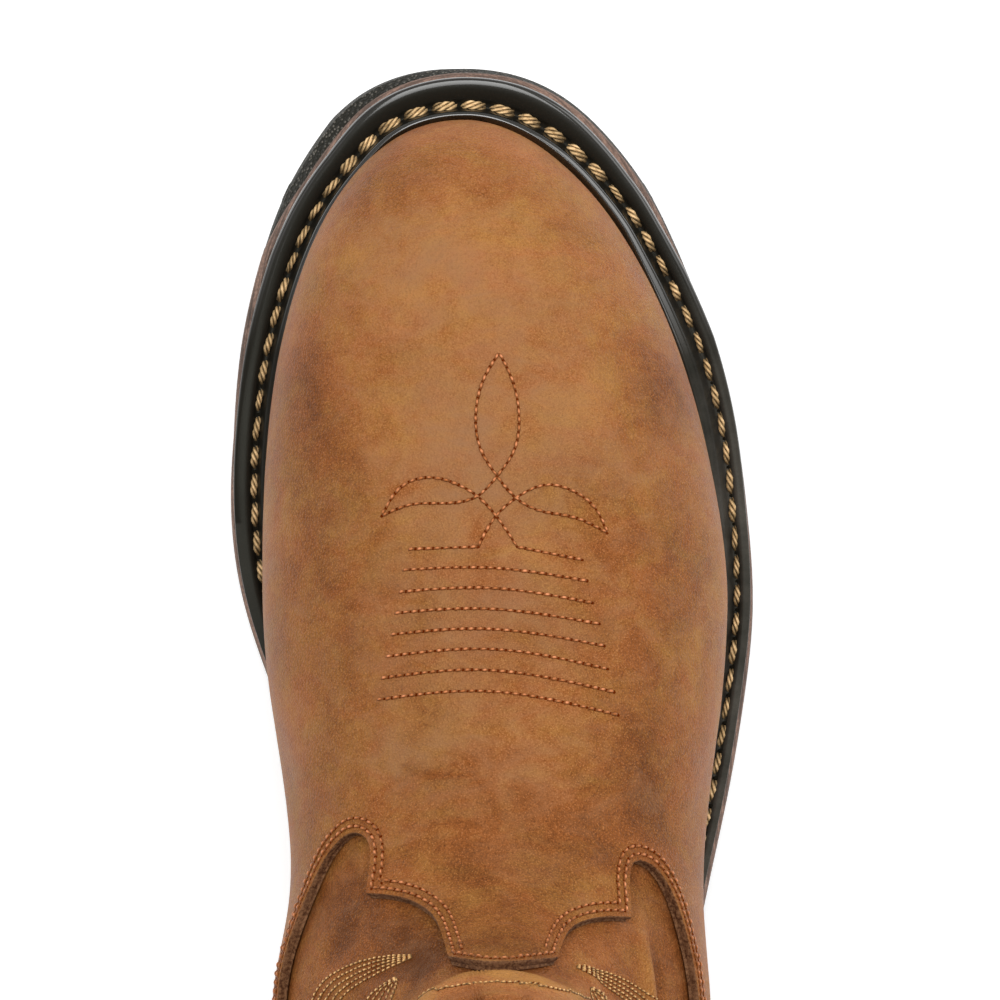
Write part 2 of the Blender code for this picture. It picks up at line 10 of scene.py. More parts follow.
import bpy
import numpy as np
from bpy.props import FloatProperty, FloatVectorProperty, IntProperty, PointerProperty
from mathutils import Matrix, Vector
from mathutils.bvhtree import BVHTree


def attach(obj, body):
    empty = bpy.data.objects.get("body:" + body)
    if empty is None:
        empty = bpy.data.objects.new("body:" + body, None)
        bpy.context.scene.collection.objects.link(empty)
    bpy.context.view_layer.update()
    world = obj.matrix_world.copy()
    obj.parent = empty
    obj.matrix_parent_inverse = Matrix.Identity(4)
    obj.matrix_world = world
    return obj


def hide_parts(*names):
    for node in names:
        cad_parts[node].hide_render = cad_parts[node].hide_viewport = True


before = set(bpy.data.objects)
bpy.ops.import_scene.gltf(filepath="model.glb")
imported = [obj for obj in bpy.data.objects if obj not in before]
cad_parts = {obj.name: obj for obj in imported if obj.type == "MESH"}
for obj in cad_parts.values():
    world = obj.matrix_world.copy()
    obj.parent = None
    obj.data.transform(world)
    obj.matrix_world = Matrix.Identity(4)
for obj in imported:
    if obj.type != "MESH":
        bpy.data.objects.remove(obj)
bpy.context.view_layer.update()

bl_info = {
    "name": "Roper boot",
    "version": (1, 0, 0),
    "blender": (4, 5, 0),
    "location": "3D View > Sidebar > Boot",
    "description": "Dresses the solids of a roper boot in leather, rubber and thread",
    "category": "Add Mesh",
}

BODY = "root"
MM = 0.001
TINY = 1e-6
LAP = 4

# Driving sizes of the sole and the last
SOLE_LENGTH = 304.0
HEEL_HEIGHT = 24.0
HEEL_BREAST = 208.0
TOE_SPRING = 13.5
TOE_SPRING_FROM = 74.0
SHANK_FROM = 118.0
SHANK_TO = 226.0
OUTSOLE_THICKNESS = 7.0
MIDSOLE_THICKNESS = 4.0
INSOLE_THICKNESS = 3.0
LEATHER = 2.0
GAP = 0.3
SHAFT_GAP = 0.5
WELT_CLEAR = 0.4
INSOLE_CLEAR = 0.9
MIDSOLE_CHAMFER = 1.6
HEEL_TAPER = 3.0
SKIRT = 6.0
BACK_HEIGHT = 270.0

# Tread: bars across the forefoot and the heel, split by a channel along the middle
TREAD_DEPTH = 2.5
TREAD_DRAFT = 0.8
TREAD_GROOVE = 4.5
TREAD_PITCH = 14.0
FOREFOOT_GROOVES = (24.0, 150.0)
HEEL_GROOVES = (226.0, 278.0)
CHANNEL = (0.455, 0.470, 0.530, 0.545)
CHANNEL_SPAN = (30.0, 160.0)

# Plan outline of the midsole on each side
TOE_TIP = (8.0, 1.4)
HEEL_TIP = (0.0, SOLE_LENGTH)
OUTLINE_COLUMNS = ("station", "medial", "lateral")
OUTLINE = (
    (4.0, 20.4, -8.8),
    (8.0, 27.6, -16.1),
    (15.5, 34.9, -24.4),
    (27.5, 43.1, -33.5),
    (40.0, 48.5, -39.8),
    (59.0, 53.9, -47.5),
    (78.0, 56.7, -52.5),
    (96.0, 57.4, -54.9),
    (117.0, 54.3, -56.1),
    (136.0, 47.8, -54.2),
    (156.0, 41.0, -50.6),
    (176.0, 36.2, -46.0),
    (200.0, 34.8, -41.3),
    (230.0, 35.6, -38.4),
    (258.0, 35.4, -36.6),
    (282.0, 31.2, -31.8),
    (297.0, 20.0, -20.4),
)

# How far the outsole's foot stands out past the midsole, by the way along the edge from the toe tip,
# which is plus on the medial side and minus on the lateral side
BUMPER = ((-100.0, 0.0), (-60.0, 0.5), (-28.0, 0.9), (0.0, 1.4), (28.0, 3.5), (60.0, 2.1), (100.0, 0.0))

# How far the midsole stands out with the bumper, by the way along
FLUSH = ((42.0, 0.0), (60.0, 1.9), (80.0, 1.1), (100.0, 0.0))

# How far the leather stands in from the midsole's edge, by station
MARGIN = ((0.0, 10.8), (60.0, 9.6), (120.0, 9.0), (190.0, 6.4), (260.0, 6.8), (304.0, 7.5))

# Welt profile, as share across and height, from its outer foot over the flange, the stitch channel and the
# rib to the leather
WELT = (
    (0.00, 0.0),
    (0.00, 1.6),
    (0.05, 2.4),
    (0.13, 2.75),
    (0.26, 2.9),
    (0.40, 2.6),
    (0.44, 1.6),
    (0.57, 1.6),
    (0.62, 2.7),
    (0.70, 4.4),
    (0.78, 5.1),
    (0.88, 5.5),
    (1.00, 4.6),
    (1.00, 0.0),
)
CHANNEL_SHARE = 0.5
CHANNEL_HEIGHT = 1.6
CORNER_CUT = 0.25
CORNER_ROUNDS = 2

# The welt's lip is the part of its profile under a share; where its corner is sharp, little of it is left
LIP_SHARE = 0.2
SHARP_LIP = 0.1

# Stations over which the welt's gloss fades, and over which its round lip gets a sharp corner
GLOSS_FADE = (30.0, 60.0)
ROUND_FADE = (60.0, 100.0)

# The gloss lies on the rib from a height upwards, and on the lip, where it grows by share
GLOSS_HEIGHT = 3.4
GLOSS_LIP = 5.0

# Chalky dust on the lateral side: how far out it is full, and the stations over which it comes on
CHALK_SIDE = 40.0
CHALK_FADE = (45.0, 95.0)

# How far the welt's lip stands in from the midsole's edge, by the way along
WELT_LIP = (
    (-260.0, 1.2), (-160.0, 1.1), (-130.0, 0.6), (-105.0, 0.1), (-85.0, -0.3), (-70.0, 0.2),
    (-58.0, 1.1), (-45.0, 1.6), (-22.0, 1.5), (0.0, 1.3), (35.0, 1.2), (60.0, 0.1), (85.0, 0.3),
    (120.0, 1.0), (260.0, 1.2),
)

# Share across the welt at which its channel runs, by the way along
WELT_SEAM = (
    (-260.0, 0.48), (-200.0, 0.45), (-165.0, 0.41), (-140.0, 0.37), (-115.0, 0.34), (-90.0, 0.36),
    (-70.0, 0.42), (-45.0, 0.51), (-20.0, 0.62), (0.0, 0.66), (20.0, 0.62), (50.0, 0.52), (90.0, 0.52),
    (115.0, 0.57), (160.0, 0.55), (260.0, 0.50),
)

# The upper, one row for each section from the toe over the instep and the ankle up the shaft
SECTION_COLUMNS = (
    "top_station", "top_height", "top_side", "base_station", "base_height",
    "medial", "lateral", "widest", "crown_medial", "crown_lateral", "tuck",
)
ON_SEAT = 0.0
SECTIONS = (
    (12.2, 57.0, 6.3, 12.2, ON_SEAT, 49.2, -49.3, 0.22, 2.3, 2.2, 2.0),
    (30.0, 60.0, 5.2, 30.0, ON_SEAT, 49.2, -49.3, 0.22, 2.3, 2.2, 2.0),
    (60.0, 66.5, 2.8, 60.0, ON_SEAT, 49.2, -49.3, 0.22, 2.2, 2.1, 2.0),
    (92.0, 74.0, 0.8, 92.0, ON_SEAT, 49.3, -49.3, 0.24, 2.1, 2.05, 2.0),
    (122.0, 81.5, -0.2, 123.0, ON_SEAT, 48.9, -49.2, 0.27, 2.05, 2.0, 1.6),
    (146.0, 87.5, -0.5, 154.0, ON_SEAT, 44.8, -45.8, 0.33, 2.0, 2.0, 1.15),
    (160.0, 91.5, -0.5, 186.0, ON_SEAT, 42.8, -43.5, 0.39, 2.0, 2.0, 1.0),
    (169.5, 97.0, -0.5, 222.0, ON_SEAT, 46.0, -44.6, 0.45, 2.0, 2.0, 1.0),
    (176.0, 104.0, -0.5, 255.0, ON_SEAT, 44.4, -43.4, 0.49, 2.0, 2.0, 1.05),
    (180.0, 111.0, -0.5, 283.0, ON_SEAT, 41.0, -40.4, 0.50, 2.0, 2.0, 1.3),
    (182.5, 117.0, -0.5, 296.5, ON_SEAT, 39.2, -38.8, 0.51, 2.0, 2.0, 1.85),
    (185.0, 125.0, -0.5, 301.0, 60.0, 39.0, -38.8, 0.52, 2.0, 2.0, 1.95),
    (187.0, 135.0, -0.5, 299.0, 88.0, 39.8, -39.6, 0.52, 2.0, 2.0, 2.0),
    (189.0, 150.0, -0.4, 294.0, 120.0, 41.6, -41.6, 0.52, 2.0, 2.0, 2.0),
    (191.0, 175.0, -0.3, 292.5, 155.0, 44.4, -44.4, 0.51, 2.05, 2.05, 2.05),
    (192.5, 205.0, -0.2, 295.5, 195.0, 47.6, -47.6, 0.50, 2.1, 2.1, 2.1),
    (193.0, 240.0, 0.0, 299.5, 236.0, 50.4, -50.4, 0.50, 2.1, 2.1, 2.1),
    (193.0, BACK_HEIGHT, 0.0, 302.5, BACK_HEIGHT, 52.2, -52.2, 0.50, 2.1, 2.1, 2.1),
)
HEEL_ROW = 10
COLLAR_ROW = len(SECTIONS) - 1
TOE_MEDIAL = (100.0, 2.2)
TOE_LATERAL = (117.0, 1.85)
TOE_TOP = (62.0, 2.6)
WIDEST_ACROSS = 0.6
SLOPE_STEP = 0.01

# Top edge of the vamp on each side, from the middle of the tongue to the back seam, with its sharp corners
TOPLINE_COLUMNS = ("medial_across", "medial_row", "lateral_across", "lateral_row")
TOPLINE = (
    (0.000, 10.62, 0.000, 10.62),
    (0.094, 9.78, 0.122, 9.46),
    (0.100, 8.44, 0.128, 8.45),
    (0.116, 7.66, 0.144, 7.93),
    (0.150, 7.24, 0.180, 7.56),
    (0.236, 6.82, 0.254, 7.20),
    (0.241, 6.20, 0.259, 6.41),
    (0.252, 5.95, 0.268, 6.25),
    (0.282, 5.80, 0.302, 6.17),
    (0.330, 5.86, 0.335, 6.23),
    (0.372, 6.04, 0.378, 6.46),
    (0.416, 6.37, 0.408, 6.77),
    (0.462, 6.80, 0.450, 7.30),
    (0.515, 7.50, 0.510, 8.00),
    (0.560, 8.20, 0.560, 8.60),
    (0.615, 9.15, 0.615, 9.40),
    (0.670, 10.00, 0.670, 10.15),
    (0.735, 10.80, 0.735, 10.85),
    (0.800, 11.30, 0.800, 11.35),
    (0.850, 11.60, 0.850, 11.60),
    (0.900, 11.80, 0.900, 11.80),
    (0.950, 11.93, 0.950, 11.93),
    (1.000, 12.00, 1.000, 12.00),
)
TOPLINE_CORNERS = (1, 5)

# Rough lengths of a full share across and of one section row, for spacing points along the top edge
ACROSS_LENGTH = 110.0
ROW_LENGTH = 13.0
FORM_SCALE = (ACROSS_LENGTH, ROW_LENGTH)

# Toe stitching in plan: side and station of the points that each curve passes through
TOE_LEAF = (
    ((-0.9, 62.9), (2.1, 68.0), (3.9, 76.2), (2.8, 83.0), (-0.5, 88.4)),
    ((-0.9, 62.9), (-3.4, 68.0), (-5.0, 76.2), (-4.0, 83.0), (-0.5, 88.4)),
)
TOE_WINGS = (
    ((-0.5, 88.4), (-4.4, 92.9), (-9.0, 95.4), (-16.3, 96.9), (-23.1, 100.1)),
    ((-23.1, 100.1), (-20.7, 95.1), (-15.9, 91.4), (-11.2, 90.2), (-4.4, 92.9), (-0.3, 96.6), (3.4, 102.9)),
    ((-0.5, 88.4), (3.6, 92.5), (10.8, 94.0), (17.2, 94.3), (23.2, 96.6)),
    ((23.2, 96.6), (18.3, 90.0), (13.5, 88.7), (8.4, 89.8), (3.6, 92.5), (-0.3, 96.6), (-4.6, 102.9)),
)
TOE_ROWS = (
    ((19.0, 107.7), (0.9, 107.2), (-18.9, 109.9)),
    ((19.8, 112.2), (1.4, 111.3), (-20.0, 114.4)),
    ((20.6, 116.5), (3.0, 115.5), (-21.4, 118.7)),
    ((21.4, 120.9), (2.6, 119.6), (-22.4, 123.2)),
    ((22.4, 125.4), (1.3, 123.7), (-23.1, 127.9)),
    ((23.3, 129.8), (4.0, 127.9), (-24.4, 132.6)),
    ((24.1, 134.2), (2.6, 132.2), (-25.2, 137.3)),
)
TOE_SHORT_ROWS = (
    ((18.0, 103.4), (3.4, 102.9)),
    ((-4.6, 102.9), (-17.9, 105.6)),
)

# Shaft stitching, as share across and section row: nested leaves beside the tongue and an arch over it
SHAFT_LEAF_OUTER = (
    (0.17, 8.47), (0.23, 8.14), (0.31, 7.86), (0.40, 7.83), (0.47, 8.60), (0.46, 10.2), (0.36, 12.6),
)
SHAFT_LEAF_INNER = (
    (0.17, 8.53), (0.21, 8.53), (0.26, 8.47), (0.33, 8.35), (0.40, 8.90), (0.41, 10.2), (0.36, 12.2),
)
SHAFT_FLAME_OUTER = ((0.21, 8.95), (0.28, 8.92), (0.33, 9.50), (0.35, 10.6), (0.34, 11.6))
SHAFT_FLAME_INNER = ((0.21, 8.98), (0.22, 9.60), (0.26, 10.4), (0.30, 11.0), (0.34, 11.6))
SHAFT_ARCH = ((0.24, 11.9), (0.175, 11.2), (0.105, 11.25), (0.0, 11.40), (-0.115, 11.1), (-0.21, 10.1))
SHAFT_LATERAL_LIFT = 0.45
LEAF_ROWS = 5
LEAF_POINTS = 12

# Side seams of the shaft: share across, the rows of stitches beside them, and how much farther back a seam
# runs for each section row under the heel's, so that it falls straight to the vamp's top edge
SIDE_SEAM_ACROSS = 0.6
SEAM_BESIDE = (-0.028, 0.028)
SEAM_STEER = 0.036
SEAM_TRIES = 8
SEAM_POINTS = 25

# How far under the collar the seams' rows end and the collar's row runs, in section rows
SEAM_END = 0.4
COLLAR_INSET = 0.30
COLLAR_POINTS = 41

# Rows along the vamp's top edge: how far in, and whether the row goes round the tongue's end
TOPLINE_ROWS = ((1.4, True), (3.1, False))
TOPLINE_CLEAR = 0.97

# Soft ridges (plus) and troughs (minus) of the leather: height, width, and a line of share across and row
SHAFT_CREASES = (
    (2.0, 3.8, (
        (0.22, 11.9), (0.15, 11.25), (0.08, 11.0), (0.0, 11.0),
        (-0.09, 10.95), (-0.15, 10.75), (-0.20, 10.2),
    )),
    (0.5, 1.2, ((0.17, 11.3), (0.10, 11.27), (0.0, 11.40), (-0.10, 11.2), (-0.17, 10.6))),
    (0.6, 1.3, ((0.14, 12.0), (0.06, 11.85), (-0.02, 11.9), (-0.10, 11.75), (-0.16, 11.3))),
    (-1.4, 3.0, ((0.16, 12.4), (0.06, 12.1), (-0.05, 12.1), (-0.14, 11.8))),
    (0.9, 3.5, ((0.12, 13.2), (0.0, 13.0), (-0.12, 13.1))),
    (1.3, 2.0, ((-0.29, 6.9), (-0.31, 7.5), (-0.35, 8.2), (-0.40, 9.2))),
    (-1.2, 2.4, ((-0.33, 7.2), (-0.36, 7.9), (-0.41, 8.8))),
    (0.6, 1.6, ((-0.17, 8.6), (-0.22, 9.2), (-0.26, 10.0))),
    (-0.9, 4.0, ((0.19, 8.2), (0.16, 8.9), (0.16, 9.6))),
    (0.9, 2.6, ((0.30, 10.8), (0.24, 9.9), (0.19, 9.2))),
    (-0.6, 3.0, ((0.24, 7.2), (0.30, 7.3), (0.36, 7.6))),
    (0.5, 4.0, ((0.30, 10.5), (0.45, 11.5), (0.60, 12.4))),
    (-0.6, 5.0, ((-0.30, 11.0), (-0.45, 11.8), (-0.62, 12.6))),
    (0.6, 6.0, ((0.80, 13.4), (0.95, 13.0), (1.0, 12.9))),
    (0.6, 6.0, ((-0.80, 13.3), (-0.95, 13.0), (-1.0, 12.9))),
)
VAMP_CREASES = (
    (-0.45, 5.0, ((0.34, 5.2), (0.22, 5.3), (0.08, 5.55), (-0.08, 5.6), (-0.22, 5.4), (-0.34, 5.35))),
    (0.35, 6.0, ((0.36, 4.6), (0.20, 4.75), (0.0, 4.9), (-0.20, 4.8), (-0.36, 4.7))),
    (-0.5, 6.0, ((0.46, 5.5), (0.50, 5.0), (0.55, 4.6))),
    (-0.5, 6.0, ((-0.46, 5.8), (-0.50, 5.2), (-0.55, 4.7))),
)

# Swelling of the leather: height, wavelength and seed
SWELLS = ((0.16, 34.0, 11), (0.05, 13.0, 12))
SWELL_WAVES = 9
SWELL_STRETCH = (0.7, 1.4)

# Soft patches of the vamp and the shaft in plan, lighter or darker, redder or golder, and dustier: side,
# station, reach each way and amount
TONE_PATCHES = (
    (2.0, 48.0, 30.0, 22.0, 0.28),
    (7.0, 82.0, 14.0, 10.0, 0.12),
    (18.0, 42.0, 9.0, 9.0, 0.09),
    (-22.0, 74.0, 9.0, 10.0, 0.14),
    (17.0, 101.0, 9.0, 10.0, 0.12),
    (-8.0, 146.0, 9.0, 6.0, 0.08),
    (26.0, 24.0, 12.0, 8.0, -0.16),
    (38.6, 73.0, 9.0, 13.0, -0.25),
    (-35.0, 71.0, 8.0, 9.0, -0.34),
    (37.0, 93.0, 8.0, 8.0, -0.08),
    (-23.0, 113.0, 9.0, 9.0, -0.08),
    (30.0, 124.0, 10.0, 16.0, -0.08),
    (-30.0, 148.0, 9.0, 16.0, -0.38),
    (0.0, 162.0, 42.0, 14.0, -0.14),
    (-36.0, 110.0, 8.0, 20.0, -0.10),
    (-2.0, 182.0, 16.0, 12.0, -0.14),
)
RUDDY_PATCHES = (
    (6.0, 20.0, 32.0, 10.0, 0.20),
    (36.0, 70.0, 10.0, 14.0, 0.60),
    (-36.0, 73.0, 9.0, 10.0, 0.35),
    (2.0, 122.0, 10.0, 16.0, 0.25),
    (-8.0, 154.0, 14.0, 12.0, 0.25),
    (33.0, 168.0, 12.0, 12.0, 0.30),
    (0.0, 170.0, 20.0, 14.0, 0.25),
    (-30.0, 152.0, 9.0, 14.0, 0.25),
    (34.0, 120.0, 8.0, 30.0, 0.10),
    (18.0, 44.0, 9.0, 12.0, -0.30),
    (18.0, 80.0, 12.0, 9.0, -0.25),
    (-18.0, 72.0, 9.0, 10.0, -0.25),
    (18.0, 143.0, 10.0, 8.0, -0.30),
)
DUSTY_PATCHES = (
    (4.0, 119.0, 24.0, 16.0, 0.50),
    (4.0, 92.0, 22.0, 12.0, 0.45),
    (18.0, 42.0, 10.0, 11.0, 0.50),
    (-2.0, 58.0, 22.0, 16.0, 0.50),
    (8.0, 80.0, 11.0, 12.0, 0.45),
    (0.0, 150.0, 20.0, 10.0, 0.35),
    (-20.0, 84.0, 14.0, 11.0, 0.30),
    (18.0, 143.0, 9.0, 8.0, 0.40),
)
# On the shaft the first patch is a painted highlight along the crest of the big fold behind the tongue; the
# others make it lighter or darker in patches
SHAFT_HIGHLIGHT_AND_TONE_PATCHES = (
    (-1.0, 191.5, 17.0, 5.0, 0.34),
    (14.0, 183.0, 9.0, 5.0, -0.22),
    (30.0, 176.0, 8.0, 8.0, -0.14),
    (-36.0, 184.0, 4.0, 10.0, -0.12),
    (-20.0, 186.0, 8.0, 5.0, 0.12),
    (34.0, 188.0, 7.0, 6.0, 0.14),
)


def length_setting(name, description, default):
    """A size in metres, shown in the scene's unit."""
    return FloatProperty(
        name=name, description=description, default=default, min=0.0, unit="LENGTH", precision=5
    )


def colour_setting(name, description, default):
    """A colour in linear light."""
    return FloatVectorProperty(
        name=name, description=description, default=default, size=3, min=0.0, max=1.0, subtype="COLOR"
    )


def strength_setting(name, description, default, unit="NONE"):
    """A strength or a power of light."""
    return FloatProperty(name=name, description=description, default=default, min=0.0, unit=unit)


class BootLeather(bpy.types.PropertyGroup):
    """Leather of the vamp and the shaft."""

    # Umber also stands for painted shade in the troughs of the shaft's folds; Pale and Gold also carry
    # painted highlights on the folds' ridges, on the grain and on the band along the welt
    umber: colour_setting("Umber", "Rubbed and folded places", (0.098, 0.030, 0.008))
    rust: colour_setting("Rust", "Redder leather of middle tone", (0.268, 0.086, 0.022))
    tan: colour_setting("Tan", "Golder leather of middle tone", (0.262, 0.109, 0.026))
    pale: colour_setting("Pale", "Redder leather where it is stretched", (0.425, 0.168, 0.060))
    gold: colour_setting("Gold", "Golder leather where it is stretched", (0.415, 0.190, 0.052))
    dusty: colour_setting("Dusty", "Greyer leather at the toe rows and the welt", (0.300, 0.148, 0.072))
    cut: colour_setting("Cut edge", "Raw edge of the vamp", (0.205, 0.096, 0.042))
    lining: colour_setting("Lining side", "Flesh side inside the boot", (0.42, 0.27, 0.15))
    grain_depth: length_setting("Grain depth", "Depth of the pores and fine creases", 0.00030)


class BootSole(bpy.types.PropertyGroup):
    """Rubber and layers of the sole."""

    rubber: colour_setting("Rubber", "Black of the outsole, heel and welt", (0.008, 0.007, 0.005))
    dust: colour_setting("Dust", "Worn high spots of the rubber", (0.260, 0.235, 0.200))
    midsole: colour_setting("Midsole", "Brown layer over the outsole", (0.290, 0.172, 0.124))
    insole: colour_setting("Insole", "Natural leather that the foot stands on", (0.45, 0.30, 0.18))
    lip: length_setting("Lip", "Rounding of moulded and trimmed edges", 0.0005)


class BootThread(bpy.types.PropertyGroup):
    """Sewing of the vamp, the shaft and the welt."""

    vamp: colour_setting("Vamp thread", "Fine thread of the toe and the top edge", (0.50, 0.152, 0.036))
    shaft: colour_setting("Shaft thread", "Pale thread of the shaft", (0.74, 0.38, 0.12))
    welt: colour_setting("Welt thread", "Heavy twisted thread of the welt", (0.68, 0.44, 0.20))
    hole: colour_setting("Needle hole", "Shade of a needle hole", (0.080, 0.013, 0.0015))
    vamp_pitch: length_setting("Vamp pitch", "Stitch length of the vamp", 0.0018)
    shaft_pitch: length_setting("Shaft pitch", "Stitch length of the shaft", 0.00125)
    fine_radius: length_setting("Fine thread", "Radius of the fine thread", 0.00032)
    welt_pitch: length_setting("Welt pitch", "Stitch length of the welt", 0.0062)
    welt_radius: length_setting("Welt strand", "Radius of one strand of the welt's thread", 0.00038)
    seed: IntProperty(name="Seed", description="Varies the stitches", default=7, min=0)


class BootStage(bpy.types.PropertyGroup):
    """Studio around the boot."""

    camera_height: length_setting("Camera height", "Height of the camera over the floor", 1.2)
    lens: FloatProperty(name="Lens", description="Focal length in millimetres", default=197.4, min=1.0)
    floor: colour_setting("Floor", "Pale floor", (0.92, 0.92, 0.92))
    sky: strength_setting("Sky", "Strength of the even light", 0.40)
    key: strength_setting("Key", "Power of the overhead light", 27.0, "POWER")
    fill: strength_setting("Fill", "Power of the stronger side light", 4.5, "POWER")
    glow: strength_setting("Glow", "Light that the floor itself gives", 0.40)


def natural_spline(knots, values):
    """A smooth curve through a table's column, as a function of the knot."""
    knots = np.asarray(knots, float)
    values = np.asarray(values, float)
    count = len(knots)
    step = np.diff(knots)
    matrix = np.eye(count)
    right = np.zeros(count)
    for i in range(1, count - 1):
        matrix[i, i - 1:i + 2] = step[i - 1], 2.0 * (step[i - 1] + step[i]), step[i]
        right[i] = 6.0 * ((values[i + 1] - values[i]) / step[i] - (values[i] - values[i - 1]) / step[i - 1])
    bend = np.linalg.solve(matrix, right)

    def curve(at):
        at = np.clip(np.asarray(at, float), knots[0], knots[-1])
        i = np.clip(np.searchsorted(knots, at, side="right") - 1, 0, count - 2)
        far = (knots[i + 1] - at) / step[i]
        near = (at - knots[i]) / step[i]
        arch = (far ** 3 - far) * bend[i] + (near ** 3 - near) * bend[i + 1]
        return far * values[i] + near * values[i + 1] + arch * step[i] ** 2 / 6.0

    return curve


def column(table, columns, name):
    """One named column of a table."""
    return np.array([row[columns.index(name)] for row in table], float)


def read_pairs(table, at):
    """Straight-line reading of a table of pairs."""
    knots, values = np.array(table, float).T
    return np.interp(at, knots, values)


def share_between(value, start, end):
    """How far a value has come from one number to another, from 0 to 1."""
    return np.clip((value - start) / (end - start), 0.0, 1.0)


def run_lengths(points):
    """Distance along a run of points, from its first."""
    return np.concatenate([[0.0], np.cumsum(np.linalg.norm(np.diff(points, axis=0), axis=1))])


def read_straight(knots, points, at):
    """Straight-line reading of each axis of a run of points."""
    return np.stack([np.interp(at, knots, points[:, k]) for k in range(points.shape[1])], axis=1)


def read_smooth(knots, points, at):
    """Smooth reading of each axis of a run of points."""
    return np.stack([natural_spline(knots, points[:, k])(at) for k in range(points.shape[1])], axis=1)


def smooth_run(points, count, scale=1.0):
    """Points along a smooth curve through a few, spaced by their lengths times a scale for each axis."""
    points = np.asarray(points, float)
    knots = run_lengths(points * scale)
    return read_smooth(knots, points, np.linspace(0.0, knots[-1], count))


def even_run(points, pitch):
    """Points one pitch apart along a run, and the directions along it."""
    knots = run_lengths(points)
    count = max(int(round(knots[-1] / pitch)), 1)
    at = (np.arange(count) + 0.5) * knots[-1] / count
    step = pitch / 4.0
    ways = read_straight(knots, points, at + step) - read_straight(knots, points, at - step)
    return read_straight(knots, points, at), ways


def tread_height(station):
    """Height of the tread plane: toe spring, a flat ball, the arch and the heel seat."""
    station = np.asarray(station, float)
    spring = TOE_SPRING * np.clip(1.0 - station / TOE_SPRING_FROM, 0.0, None) ** 2
    rise = share_between(station, SHANK_FROM, SHANK_TO)
    return spring + HEEL_HEIGHT * rise * rise * (3.0 - 2.0 * rise)


def seat_height(station):
    """Height at which the upper, welt and insole sit on the midsole."""
    return tread_height(station) + OUTSOLE_THICKNESS + MIDSOLE_THICKNESS + GAP


class Outline:
    """Plan edge of the sole, and edges set in or out from it."""

    STEPS = 2400

    def __init__(self):
        station = column(OUTLINE, OUTLINE_COLUMNS, "station")
        medial = np.stack([column(OUTLINE, OUTLINE_COLUMNS, "medial"), station], axis=1)
        lateral = np.stack([column(OUTLINE, OUTLINE_COLUMNS, "lateral"), station], axis=1)
        loop = np.vstack([[TOE_TIP], medial, [HEEL_TIP], lateral[::-1]])
        wrapped = np.vstack([loop[-LAP:], loop, loop[:LAP + 1]])
        chord = run_lengths(wrapped)
        start, end = chord[LAP], chord[LAP + len(loop)]
        at = np.linspace(start, end, self.STEPS, endpoint=False)
        self.points = read_smooth(chord, wrapped, at)
        self.outward = loop_outward(self.points)
        along = at - start
        length = end - start
        self.along = np.where(along > length / 2.0, along - length, along)

    def edge(self, out):
        """The edge moved out by a distance, or by one distance for each point."""
        return self.points + self.outward * np.broadcast_to(out, (self.STEPS,))[:, None]

    def bumper(self, share=1.0):
        """Edge of the outsole's foot, or of its side at a share of the way out."""
        return self.edge(read_pairs(BUMPER, self.along) * share)

    def seat(self):
        """Edge of the leather where it meets the welt."""
        return self.edge(-read_pairs(MARGIN, self.points[:, 1]))


def loop_outward(loop):
    """Plan directions out of a closed loop that runs from the toe along the medial side."""
    ahead = np.roll(loop, -1, axis=0) - np.roll(loop, 1, axis=0)
    ahead /= np.linalg.norm(ahead, axis=1, keepdims=True)
    return np.stack([ahead[:, 1], -ahead[:, 0]], axis=1)


def split_sides(edge):
    """An edge as two runs from its foremost to its rearmost point, medial then lateral."""
    toe = int(np.argmin(edge[:, 1]))
    rolled = np.roll(edge, -toe, axis=0)
    heel = int(np.argmax(rolled[:, 1]))
    medial = rolled[:heel + 1]
    lateral = np.vstack([rolled[heel:], rolled[:1]])[::-1]
    return medial, lateral


OUTLINE_EDGE = Outline()
SEAT_SIDES = split_sides(OUTLINE_EDGE.seat())
SOLE_MIDDLE = (OUTLINE_EDGE.bumper().min(axis=0) + OUTLINE_EDGE.bumper().max(axis=0)) / 2.0


